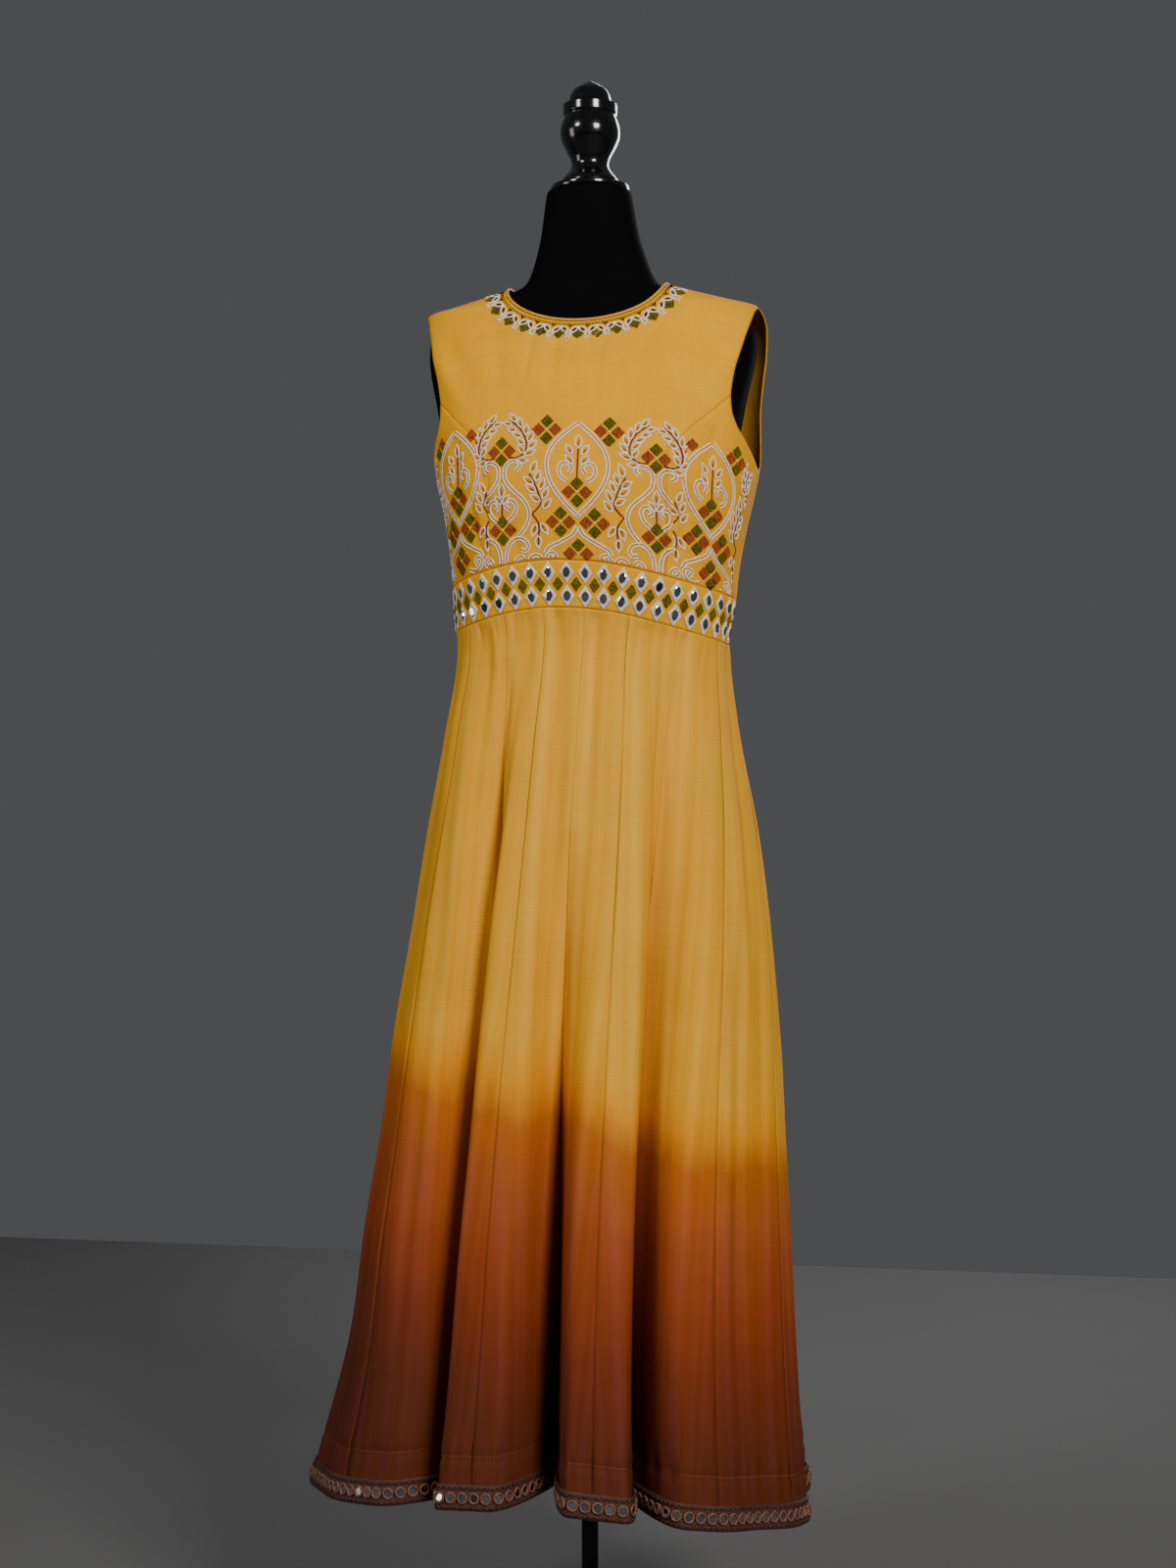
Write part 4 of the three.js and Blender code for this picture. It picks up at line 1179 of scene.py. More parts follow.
def flattened(direction, outward):
    """A unit direction that lies in the cloth."""
    return unit(direction - outward * (direction * outward).sum(-1, keepdims=True))


def turned_frames(points, around, upward, outward, turn):
    """The places, and a frame at each whose first direction is turned from the way round."""
    along = around * np.cos(turn)[:, None] + upward * np.sin(turn)[:, None]
    return points, np.stack([along, np.cross(outward, along), outward], axis=1)


def front_frames(s, z, turn):
    points, outward = on_front(s, z)
    beside, _ = on_front(s + 0.5, z)
    around = flattened(beside - points, outward)
    return turned_frames(points, around, np.cross(outward, around), outward, turn)


to_side = np.interp(QUARTER, CHART[UNDERARM_Z - CHART_LOW], CHART_REACHES)
print("the front measures", round(float(to_side)), "mm to a side seam")

# %% [markdown]
# ## Stitches and knots
#
# Thread work is thousands of small bumps of two kinds: a short slanted stitch and a round knot.
# Each is modelled once with few faces. One joined mesh then repeats it by array arithmetic.

# %% Base shapes
def start_shape(add_primitive, **settings):
    """Adds a primitive, fixes its place in its mesh and opens it with everything selected."""
    bpy.ops.object.select_all(action="DESELECT")
    add_primitive(**settings)
    bpy.ops.object.transform_apply(location=True, rotation=True, scale=True)
    bpy.ops.object.mode_set(mode="EDIT")
    bpy.ops.mesh.select_all(action="SELECT")
    return bpy.context.active_object


def finished_mesh(piece):
    """Takes a modelled base shape out of the scene and keeps its points and faces."""
    bpy.ops.object.mode_set(mode="OBJECT")
    mesh = piece.data
    points = np.array([vertex.co[:] for vertex in mesh.vertices]) / MM
    faces = [tuple(face.vertices) for face in mesh.polygons]
    bpy.data.objects.remove(piece)
    return points, faces


def model_stitch():
    """A grain of thread 1 mm long and wide, thickest in the middle and a little flat."""
    piece = start_shape(bpy.ops.mesh.primitive_uv_sphere_add, segments=5, ring_count=4, radius=0.5 * MM,
                        rotation=(0, QUARTER, 0), location=(0, 0, 0.2 * MM))
    bpy.ops.transform.resize(value=(1, 1, 0.8))
    return finished_mesh(piece)


def model_knot():
    """A French knot 1 mm wide: a low bead that is squashed onto the cloth."""
    piece = start_shape(bpy.ops.mesh.primitive_ico_sphere_add, subdivisions=1, radius=0.5 * MM,
                        location=(0, 0, 0.25 * MM))
    bpy.ops.transform.resize(value=(1, 1, 0.8))
    return finished_mesh(piece)


def model_tile():
    """A thin diamond pad 1 mm across both ways, with sloped edges."""
    piece = start_shape(bpy.ops.mesh.primitive_cylinder_add, vertices=4, radius=0.5 * MM, depth=0.4 * MM,
                        location=(0, 0, 0.2 * MM))
    bpy.ops.mesh.bevel(offset=0.06 * MM, segments=1)
    return finished_mesh(piece)


STITCH = model_stitch()
KNOT = model_knot()
TILE = model_tile()


def joined_copies(name, base, places, frames, sizes, material, smooth=True):
    """One mesh with a copy of the base at every place, turned by its frame and scaled."""
    points, faces = base
    scaled = points[None] * sizes[:, None, :]
    moved = places[:, None, :] + np.einsum("nvk,nkc->nvc", scaled, frames)
    count = len(points)
    corners = [
        tuple(index + copy * count for index in face)
        for copy in range(len(places))
        for face in faces
    ]
    mesh = bpy.data.meshes.new(name)
    mesh.from_pydata((moved.reshape(-1, 3) * MM).tolist(), [], corners)
    if smooth:
        mesh.shade_smooth()
    return new_piece(name, mesh, material)


print("faces a stitch, a knot and a tile:", len(STITCH[1]), len(KNOT[1]), len(TILE[1]))

# %% Thread colours
def thread_finish(name, light, dark, roughness=0.55):
    """Twisted thread: its colour wanders between two tones from stitch to stitch."""
    finish = Finish(name, light, roughness)
    place = finish.place()
    wander = finish.noise(place, 620, 2.0, 0.6)
    finish.color(finish.mix(wander.above(0.5, 0.35), dark, light))
    finish.bump(finish.noise(place, 2600, 2.0), 0.0002, 0.4)
    finish.set("Specular IOR Level", 0.2)
    return finish.material


WHITE_THREAD = thread_finish("white_thread", srgb(246, 240, 236), srgb(206, 196, 192))
OLIVE_THREAD = thread_finish("olive_thread", srgb(138, 128, 14), srgb(52, 46, 8))
RUST_THREAD = thread_finish("rust_thread", srgb(196, 102, 38), srgb(112, 46, 24))
CORE_THREAD = thread_finish("leaf_core_thread", srgb(202, 100, 22), srgb(150, 60, 22))
MAROON_THREAD = thread_finish("maroon_thread", srgb(124, 34, 30), srgb(72, 16, 20))
OLIVE_PAD = thread_finish("olive_ground", srgb(72, 66, 14), srgb(30, 28, 10), 0.8)
RUST_PAD = thread_finish("rust_ground", srgb(140, 62, 26), srgb(84, 32, 18), 0.8)
print("threads: white, olive, rust and maroon")

# %% [markdown]
# ## Drawing with thread
#
# A needle book collects the work: every stitch is a place, a direction and a size on the chart,
# kept in one list for each colour. A path is smoothed first, and then stitches follow it at an
# even pitch, each slanted a little, which is what makes a line look like twisted cord.

# %% Needle book
class NeedleBook:
    """Stitches or knots of one colour: s, height, turn, length, width and thickness."""

    def __init__(self, frames_of):
        self.frames_of = frames_of
        self.rows = []

    def add(self, s, z, turn, length, width, thickness):
        self.rows.append((s, z, turn, length, width, thickness))

    def sew(self, name, base, material):
        table = np.array(self.rows)
        places, frames = self.frames_of(table[:, 0], table[:, 1], table[:, 2])
        piece = joined_copies(name, base, places, frames, table[:, 3:6], material)
        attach(piece, "root")
        return piece


def smooth_path(points, pitch):
    """Runs a smooth line through the points and steps along it at an even pitch."""
    line = np.array(points, float)
    if len(line) > 2:
        before = np.vstack([2 * line[0] - line[1], line[:-1]])
        after = np.vstack([line[1:], 2 * line[-1] - line[-2]])
        slope = (after - before) / 2
        t = np.linspace(0, 1, 13)[:-1, None]
        pieces = [
            (1 + 2 * t) * (1 - t) ** 2 * line[i] + t * (1 - t) ** 2 * slope[i]
            + t * t * (3 - 2 * t) * line[i + 1] - t * t * (1 - t) * slope[i + 1]
            for i in range(len(line) - 1)
        ]
        line = np.vstack([*pieces, line[-1:]])
    length = walked(line)
    count = max(2, round(length[-1] / pitch))
    even = np.linspace(0, length[-1], count + 1)
    return np.stack([np.interp(even, length, line[:, axis]) for axis in (0, 1)], -1)


def directions(path):
    return unit(np.gradient(path, axis=0))


print("steps along a bow 20 mm wide:", len(smooth_path([(0, 0), (10, 5), (20, 0)], 2)) - 1)

# %% [markdown]
# ## The pattern
#
# One repeat of the pattern is drawn here in millimetres: a pointed oval with a sprig inside, and
# half a repeat further a wreath over a pair of scrolls, like a vase. Both are mirror images of
# themselves, so only their right half is written down. The side seams and the curved seams cut
# through the pattern as they cut the cloth.

# %% Right half of the pointed oval
PATTERN_MIDDLE = 8
HALF_REPEAT = 81
OVAL_CORDS = [
    [(1.5, 1328), (9, 1322), (19, 1313), (28, 1301), (32, 1286), (28, 1268), (16, 1250), (0, 1233.5)],
    [(1, 1222), (6, 1214), (19, 1206.5), (31, 1200.5), (34, 1195.5)],
    [(11, 1268.5), (17, 1273), (19, 1280.5), (15.5, 1286), (9.5, 1286.5), (5.5, 1282), (8, 1277)],
]
OVAL_HOOKS = [
    [(15, 1184), (24, 1182), (31, 1186), (33, 1192), (28.5, 1195.5), (23.5, 1193), (26, 1189)],
    [(51, 1182.5), (51, 1189), (46.5, 1193), (41, 1192), (38.5, 1187.5), (42, 1184.5)],
    [(67.5, 1186.5), (65, 1190.5), (61, 1192), (58, 1189.5)],
]
OVAL_STEMS = [
    [(0, 1266), (0.3, 1276), (0.6, 1288), (1.2, 1303)],
    [(49.5, 1275), (44.5, 1266), (40.5, 1256), (38, 1246), (43, 1239), (47, 1235), (43, 1229), (40.5, 1223),
     (41, 1213), (41.5, 1205)],
]
# Columns of leaves: place across and height, turn in degrees, length and width.
OVAL_LEAVES = [
    (8.6, 1301, 55, 9.5, 5.4),
    (8.2, 1290.5, 50, 9.5, 5.6),
    (45.5, 1282.5, 112, 11, 5.8),
    (51.0, 1268.5, 35, 10.5, 5.4),
    (48.5, 1260.5, 33, 10.5, 5.4),
    (44.0, 1250.5, 30, 10.5, 5.4),
    (41.0, 1273.5, 108, 10.0, 5.2),
    (36.5, 1265.0, 112, 10.5, 5.2),
    (33.0, 1255.5, 118, 10.5, 5.4),
    (31.5, 1245.0, 130, 10.5, 5.6),
    (45.8, 1218.0, 292, 10.5, 5.4),
    (34.8, 1219.5, 236, 10.5, 5.4),
    (41.5, 1206.0, 268, 10.5, 5.4),
]
OVAL_MIDDLE_LEAVES = [(1.2, 1309.5, 88, 11.5, 6.2)]
OVAL_CLUSTERS = [(0, 1257.5), (17.6, 1227.0), (0, 1195.5), (32.5, 1321.5)]

# %% Right half of the wreath and its scrolls
VASE_CORDS = [
    [(17, 1279.5), (21, 1283.5), (18.5, 1288.5), (11.5, 1289), (5.5, 1285), (3.2, 1277.5), (5.5, 1268),
     (13.5, 1259), (23.5, 1250), (29, 1241), (30, 1231), (25.5, 1221), (17.5, 1212)],
    [(3, 1183.5), (4, 1196), (8.5, 1206), (16, 1210.3), (24.5, 1208.5), (28.5, 1202.5), (25.5, 1197.5),
     (20.5, 1198.5)],
    [(6, 1228.5), (13.5, 1235), (16, 1243), (12.5, 1248.5), (7, 1248.5), (4, 1243.5), (7.5, 1240.5)],
]
VASE_STEMS = [
    [(0, 1229), (0, 1241), (-0.2, 1255)],
    [(8.5, 1293.5), (15.5, 1292.5), (22.5, 1295), (27, 1301), (27.3, 1308), (24, 1317), (18, 1325),
     (8.5, 1332.5)],
]
VASE_LEAVES = [
    (4.6, 1250.5, 48, 9.0, 5.2),
    (23.5, 1289.5, 356, 10.5, 5.4),
    (31.5, 1297.5, 22, 10.5, 5.4),
    (33.5, 1306.0, 48, 10.0, 5.2),
    (31.5, 1314.5, 66, 10.0, 5.2),
    (26.5, 1322.0, 88, 9.6, 5.0),
    (19.5, 1329.5, 108, 9.4, 5.0),
    (11.5, 1335.0, 132, 9.4, 5.0),
    (21.5, 1301.5, 128, 9.0, 4.8),
    (20.5, 1309.5, 146, 9.0, 4.8),
    (16.5, 1316.5, 160, 9.0, 4.8),
    (10.5, 1322.5, 170, 8.6, 4.7),
    (5.5, 1329.0, 166, 8.2, 4.5),
]
VASE_MIDDLE_LEAVES = [(0, 1260.0, 90, 11.5, 6.2)]
VASE_CLUSTERS = [(0, 1300), (0, 1219.5)]
print("half a repeat is", HALF_REPEAT, "mm wide")

# %% [markdown]
# The seams that shape the bust eat some of the embroidered cloth: a strip of the pattern
# disappears into each of them, and the pattern beyond it moves closer. The whole drawing also
# sinks toward the sides, as the waist seam does.

# %% Placing the pattern
SEAM_BITE_HEIGHTS = (1255, 1298)
SEAM_BITE_STARTS = (98, 114)
SEAM_BITE = 20
BAND_MARGIN = 2.5
EDGE_MARGIN = 2.5
SIDE_SEAM_MARGIN = 0.03
ARMHOLE_START = 6
ARMHOLE_MARGIN = 0.02
DROP_ACROSS = 0.065
SIDE_DROP, SIDE_DROP_REACH = 14, 160


def settle(p, z):
    """From the drawn pattern to the worn cloth, or None where a seam or an edge hides it."""
    distance = abs(p)
    bite_start = float(np.interp(z, SEAM_BITE_HEIGHTS, SEAM_BITE_STARTS))
    if bite_start < distance < bite_start + SEAM_BITE:
        return None
    worn = distance if distance <= bite_start else distance - SEAM_BITE
    s = PATTERN_MIDDLE + math.copysign(worn, p)
    aside = s - PATTERN_MIDDLE
    height = z - DROP_ACROSS * aside - SIDE_DROP * (aside / SIDE_DROP_REACH) ** 2
    angle = float(chart_angle(np.float64(s), np.float64(height)))
    band_edge = float(waist_seam(angle)) + BAND_HEIGHT
    if abs(angle) > QUARTER - SIDE_SEAM_MARGIN or height < band_edge + BAND_MARGIN:
        return None
    x = float(ring_point(np.float64(height), np.float64(angle))[0])
    side = math.copysign(1, x)
    limit = float(half_width(height, side))
    if height > UNDERARM_Z - ARMHOLE_START:
        limit *= float(ARMHOLE_SHARES[-1](max(height, UNDERARM_Z))) - ARMHOLE_MARGIN
    return (s, height) if abs(x) < limit - EDGE_MARGIN else None


THREADS = ("white", "leaf_white", "rust", "maroon", "core")
KNOTS_AND_PADS = ("olive_knots", "rust_knots", "white_knots", "olive_pads", "rust_pads")
BOOKS = {name: NeedleBook(front_frames) for name in THREADS + KNOTS_AND_PADS}


def sew_line(book, path, length, width, thickness, slant=0.0, aside=0.0):
    """Lays one stitch at every step of a path, moved sideways and slanted."""
    for (p, z), (dp, dz) in zip(path, directions(path)):
        place = settle(p - dz * aside, z + dp * aside)
        if place:
            BOOKS[book].add(*place, math.atan2(dz, dp) + slant, length, width, thickness)


CORD_PITCH = 1.35
CORD_SPREAD = 1.65
CORD_STITCH = (2.5, 1.6, 1.5)
SEED_PITCH = 2.6
SEED_STITCH = (1.5, 0.8, 0.8)


def sew_double_cord(points):
    """Two white cords with a row of rust seed stitches between them."""
    path = smooth_path(points, CORD_PITCH)
    for hand in (1, -1):
        sew_line("white", path, *CORD_STITCH, slant=0.5 * hand, aside=CORD_SPREAD * hand)
    sew_line("rust", smooth_path(points, SEED_PITCH), *SEED_STITCH)


LEAF_GROWTH = 1.16
LEAF_PITCH = 1.85
LEAF_STITCH = (2.6, 1.9, 1.6)


def sew_leaf(s, z, turn, length, width):
    """A leaf outlined in white with a rust heart and a maroon base."""
    length, width = length * LEAF_GROWTH, width * LEAF_GROWTH
    angle = math.radians(turn)
    share = np.linspace(0, 1, 9)
    half = width / 2 * np.sin(math.pi * share ** 0.85) ** 0.9
    x = np.concatenate([share - 0.5, (share - 0.5)[::-1]]) * length
    y = np.concatenate([half, -half[::-1]])
    cosine, sine = math.cos(angle), math.sin(angle)
    outline = np.stack([s + x * cosine - y * sine, z + x * sine + y * cosine], -1)
    sew_line("leaf_white", smooth_path(outline, LEAF_PITCH), *LEAF_STITCH, slant=0.3)
    heart = settle(s - cosine * length * 0.06, z - sine * length * 0.06)
    if heart:
        BOOKS["core"].add(*heart, angle, length * 0.5, width * 0.28, 1.0)
        foot = settle(s - cosine * length * 0.22, z - sine * length * 0.22)
        if foot:
            BOOKS["maroon"].add(*foot, angle, length * 0.36, 1.2, 1.3)


CLUSTER_STEP = 8.8
LOZENGE_HALF = 7.5
LOZENGE_PAD = 1.9
LOZENGE_SIDE = 1.42
KNOT_REACH = 0.95
KNOT_PITCH = 1.5
KNOT_HEIGHT = 1.9
KNOT_STRAY = 0.2
KNOT_TURN = 3.1


def diamond_places(rows):
    """Even places in a diamond that reaches from -1 to 1 both ways."""
    for i in range(rows):
        for j in range(rows):
            a, b = (i + 0.5) / rows * 2 - 1, (j + 0.5) / rows * 2 - 1
            yield (a - b) / 2, (a + b) / 2


def stray(draw):
    return draw.uniform(-KNOT_STRAY, KNOT_STRAY)


def sew_lozenge(book, p, z, seed):
    """A diamond filled with knots that touch, none quite in line."""
    draw = random.Random(seed)
    middle = settle(p, z)
    if not middle:
        return
    pad = LOZENGE_HALF * LOZENGE_PAD
    reach = LOZENGE_HALF * KNOT_REACH
    BOOKS[book + "_pads"].add(*middle, 0.0, pad, pad, 1.0)
    for x, y in diamond_places(round(LOZENGE_HALF * LOZENGE_SIDE / KNOT_PITCH)):
        place = settle(p + x * reach + stray(draw), z + y * reach + stray(draw))
        size = draw.uniform(1.45, 1.85)
        if place:
            BOOKS[book + "_knots"].add(*place, draw.uniform(0, KNOT_TURN), size, size, KNOT_HEIGHT)


def sew_cluster(p, z, seed):
    """Four lozenges round a white knot, olive above and below and rust on both sides."""
    sew_lozenge("olive", p, z + CLUSTER_STEP, seed)
    sew_lozenge("olive", p, z - CLUSTER_STEP, seed + 1)
    sew_lozenge("rust", p + CLUSTER_STEP, z, seed + 2)
    sew_lozenge("rust", p - CLUSTER_STEP, z, seed + 3)
    middle = settle(p, z)
    if middle:
        BOOKS["white_knots"].add(*middle, 0.0, 2.0, 2.0, 2.4)


STEM_PITCH = 1.5
STEM_STITCH = (2.5, 1.8, 1.4)


def sew_motif(middle, cords, hooks, stems, leaves, middle_leaves, clusters):
    """Sews a motif and its mirror image about its middle."""
    for hand in (1, -1):
        for points in cords + hooks:
            sew_double_cord([(middle + hand * p, z) for p, z in points])
        for points in stems:
            if hand == 1 or abs(points[0][0]) > 3:
                path = smooth_path([(middle + hand * p, z) for p, z in points], STEM_PITCH)
                sew_line("maroon", path, *STEM_STITCH, slant=0.25)
        for p, z, turn, length, width in leaves:
            sew_leaf(middle + hand * p, z, turn if hand == 1 else 180 - turn, length, width)
    for p, z, turn, length, width in middle_leaves:
        sew_leaf(middle + p, z, turn, length, width)
    for p, z in clusters:
        for hand in ((1, -1) if p else (1,)):
            sew_cluster(middle + hand * p, z, seed=int(1000 + middle + 7 * hand * p + z))


OVAL = (OVAL_CORDS, OVAL_HOOKS, OVAL_STEMS, OVAL_LEAVES, OVAL_MIDDLE_LEAVES, OVAL_CLUSTERS)
VASE = (VASE_CORDS, [], VASE_STEMS, VASE_LEAVES, VASE_MIDDLE_LEAVES, VASE_CLUSTERS)
for repeat in range(-3, 4):
    sew_motif(repeat * HALF_REPEAT, *(OVAL if repeat % 2 == 0 else VASE))

EMBROIDERY = [
    ("cord_embroidery", "white", STITCH, WHITE_THREAD),
    ("leaf_embroidery", "leaf_white", STITCH, WHITE_THREAD),
    ("seed_stitches", "rust", STITCH, RUST_THREAD),
    ("stem_embroidery", "maroon", STITCH, MAROON_THREAD),
    ("leaf_hearts", "core", STITCH, CORE_THREAD),
    ("olive_knots", "olive_knots", KNOT, OLIVE_THREAD),
    ("rust_knots", "rust_knots", KNOT, RUST_THREAD),
    ("olive_grounds", "olive_pads", TILE, OLIVE_PAD),
    ("rust_grounds", "rust_pads", TILE, RUST_PAD),
]
for name, book, base, material in EMBROIDERY:
    piece = BOOKS[book].sew(name, base, material)
    print(name, len(BOOKS[book].rows), "stitches,", len(piece.data.polygons), "faces")
BOOKS["white_knots"].sew("white_knots", KNOT, WHITE_THREAD)

# %% [markdown]
# ## Neckline ornament
#
# Thirteen small arches stand side by side under the piping: two white petals over an olive
# lozenge, with white knots between the arches and dark seed stitches above them. They are drawn on
# a strip that is measured along the neckline and down from it.

# %% The neckline as a strip
NECK_LINE = neck_edge(600, -1)
NECK_LENGTH = walked(NECK_LINE)
NECK_LENGTH -= NECK_LENGTH[-1] / 2


def neck_place(a):
    return np.stack([np.interp(a, NECK_LENGTH, NECK_LINE[:, axis]) for axis in range(3)], -1)


def neck_frames(a, down, turn):
    """Frames at a along the front neckline and some way down from it."""
    edge = neck_place(a)
    along = unit(neck_place(a + 0.5) - neck_place(a - 0.5))
    upward = unit(np.cross(outward_at(edge), along))
    place = edge - upward * down[:, None]
    place = face_point(place[:, 0], place[:, 2], -1)
    outward = outward_at(place)
    along = flattened(along, outward)
    place = place - outward * crease_depth(place, FRONT_CREASES)[:, None]
    return turned_frames(place, along, np.cross(outward, along), outward, turn)


print("the front neckline is", round(float(NECK_LENGTH[-1] * 2)), "mm long")

# %% Sew the neckline
ARCH_PITCH = 17.6
ARCHES = 13
PETAL_TURN = 49
PETAL_PITCH = 1.3
PETAL_PLACE = (4.2, 11.3)
PETAL_SIZE = (10.6, 5.0)
NECK_BOOKS = {name: NeedleBook(neck_frames) for name in ("white", "dark", "orange", "knots", "pads")}


def trim_line(book, path, length, width, thickness, slant=0.0):
    """Lays stitches along a path on a strip whose second number grows downward."""
    for (a, down), (da, dd) in zip(path, directions(path)):
        book.add(a, down, math.atan2(-dd, da) + slant, length, width, thickness)


def petal_outline(a, down, turn, length, width):
    angle = math.radians(turn)
    share = np.linspace(0, 1, 9)
    half = width / 2 * np.sin(math.pi * share) ** 0.8
    x = np.concatenate([share - 0.5, (share - 0.5)[::-1]]) * length
    y = np.concatenate([half, -half[::-1]])
    cosine, sine = math.cos(angle), math.sin(angle)
    outline = np.stack([a + x * cosine - y * sine, down - x * sine - y * cosine], -1)
    return smooth_path(outline, PETAL_PITCH)


ARCH_LINE = [(-8.4, 15.5), (-7.4, 10.6), (-4.1, 7.0), (0, 5.9), (4.1, 7.0), (7.4, 10.6), (8.4, 15.5)]
ARCH_LINE_PITCH = 1.6
ARCH_LOZENGE_DOWN = 17.6
ARCH_PAD_SIZE = (11.6, 12.4)
ARCH_KNOT_REACH = (5.9, 6.3)
ARCH_KNOT_ROWS = 6
# Columns: place across and down, turn in degrees and length.
WHITE_BETWEEN = [(-2.1, 17.8, 56, 5.0), (2.1, 17.8, 124, 5.0), (-1.2, 21.6, 78, 4.4), (1.3, 21.4, 102, 4.2)]
DARK_BETWEEN = [(-1.5, 5.6, -50, 3.6), (1.5, 5.6, 230, 3.6), (0, 7.0, -90, 4.0)]


def sew_arch(middle, draw):
    for hand in (1, -1):
        turn = -PETAL_TURN if hand == 1 else PETAL_TURN - 180
        aside, down = PETAL_PLACE
        petal = petal_outline(middle + hand * aside, down, turn, *PETAL_SIZE)
        trim_line(NECK_BOOKS["white"], petal, 2.4, 1.9, 1.7, 0.3)
        NECK_BOOKS["dark"].add(middle + hand * 4.1, 11.2, math.radians(turn), 6.4, 2.6, 2.0)
    arch = smooth_path([(middle + a, down) for a, down in ARCH_LINE], ARCH_LINE_PITCH)
    trim_line(NECK_BOOKS["orange"], arch, 2.2, 0.8, 0.8, 0.2)
    NECK_BOOKS["pads"].add(middle, ARCH_LOZENGE_DOWN, 0.0, *ARCH_PAD_SIZE, 1.0)
    across, upward = ARCH_KNOT_REACH
    for x, y in diamond_places(ARCH_KNOT_ROWS):
        size = draw.uniform(1.4, 1.8)
        place = (middle + x * across + stray(draw), ARCH_LOZENGE_DOWN + y * upward + stray(draw))
        NECK_BOOKS["knots"].add(*place, draw.uniform(0, KNOT_TURN), size, size, KNOT_HEIGHT)


def sew_between(middle):
    """White knots, a dark point and nothing else, between two arches."""
    for a, down, turn, length in WHITE_BETWEEN:
        NECK_BOOKS["white"].add(middle + a, down, math.radians(turn), length, 2.5, 2.1)
    for a, down, turn, length in DARK_BETWEEN:
        NECK_BOOKS["dark"].add(middle + a, down, math.radians(turn), length, 1.7, 1.3)


SEED_ROW_PITCH = 1.9
# Columns: shift along the neck, way down, turns of even and odd seeds in degrees, and length.
SEED_ROWS = [(0, 2.9, (132, 48), 2.0), (0.9, 4.6, (110, 70), 1.9)]


def sew_neckline():
    draw = random.Random(31)
    for index in range(ARCHES):
        sew_arch((index - (ARCHES - 1) / 2) * ARCH_PITCH, draw)
    for index in range(ARCHES + 1):
        middle = (index - ARCHES / 2) * ARCH_PITCH
        if abs(middle) < NECK_LENGTH[-1] - 3:
            sew_between(middle)
    reach = NECK_LENGTH[-1] - 2
    for index, a in enumerate(np.arange(-reach, reach, SEED_ROW_PITCH)):
        for shift, down, turns, length in SEED_ROWS:
            NECK_BOOKS["dark"].add(a + shift, down, math.radians(turns[index % 2]), length, 1.0, 1.0)


DARK_THREAD = thread_finish("dark_green_thread", srgb(34, 34, 18), srgb(14, 12, 8))
ORANGE_THREAD = thread_finish("orange_thread", srgb(214, 122, 14), srgb(176, 84, 10))
sew_neckline()
for name, base, material in (("white", STITCH, WHITE_THREAD), ("dark", STITCH, DARK_THREAD),
                             ("orange", STITCH, ORANGE_THREAD), ("knots", KNOT, OLIVE_THREAD),
                             ("pads", TILE, OLIVE_PAD)):
    piece = NECK_BOOKS[name].sew("neckline_" + name, base, material)
    print(piece.name, len(NECK_BOOKS[name].rows), "stitches")

# %% [markdown]
# ## Mirrored waistband
#
# Two rows of lozenge mirrors are held down by dense white thread. Each mirror is a small faceted
# glass that sits in a wall of stitches, and none lies quite flat, so each one catches a different
# part of the room. Olive lozenges fill the gaps between the rows.

# %% The waistband as a strip
def band_frames(a, rise, turn):
    points = band_point(a / BAND_LENGTH, rise)
    outward = outward_at(points)
    around = flattened(band_point(a / BAND_LENGTH + 0.001, rise) - points, outward)
    return turned_frames(points, around, np.cross(outward, around), outward, turn)


def model_glass():
    """A small mirror 1 mm long and wide with a bevelled rim."""
    piece = start_shape(bpy.ops.mesh.primitive_cylinder_add, vertices=12, radius=0.5 * MM, depth=1 * MM,
                        location=(0, 0, 0.5 * MM))
    bpy.ops.mesh.select_mode(type="FACE")
    bpy.ops.mesh.select_all(action="DESELECT")
    bpy.ops.object.mode_set(mode="OBJECT")
    for face in piece.data.polygons:
        face.select = face.normal.z > 0.9
    bpy.ops.object.mode_set(mode="EDIT")
    bpy.ops.mesh.inset(thickness=0.1 * MM, depth=0.12 * MM)
    return finished_mesh(piece)


GLASS = model_glass()


def mirror_finish():
    finish = Finish("mirror_glass", (0.3, 0.34, 0.4), 0.06, 1.0)
    place = finish.place()
    cloud = finish.noise(place, 260, 2.0)
    finish.color(finish.mix(cloud, (0.3, 0.34, 0.4), (0.74, 0.77, 0.8)))
    finish.rough(cloud * 0.1 + 0.02)
    return finish.material


MIRROR = mirror_finish()
BAND_BOOKS = {name: NeedleBook(band_frames) for name in ("white", "knots", "pads", "white_pads", "glass")}


def lozenge_path(a, rise, half_across, half_up, pitch):
    corners = [(a, rise + half_up), (a + half_across, rise), (a, rise - half_up), (a - half_across, rise)]
    path = []
    for start, end in zip(corners, corners[1:] + corners[:1]):
        steps = max(2, round(math.dist(start, end) / pitch))
        path.append(np.linspace(start, end, steps, endpoint=False))
    return np.concatenate(path)


# Each wall of stitches round a mirror: its share of the mirror's size, its pitch and its thickness.
MIRROR_WALLS = [(0.9, 1.75, 2.3), (0.72, 1.7, 3.0)]
GLASS_SIZE = (7.2, 10.8, 2.1)
BAND_LOZENGE_HALF = 5.9
END_LOZENGE_HALF = 2.6
END_INSET = 3.2
BAND_KNOT_RISE = 7.8
BAND_KNOT_ROWS = 7


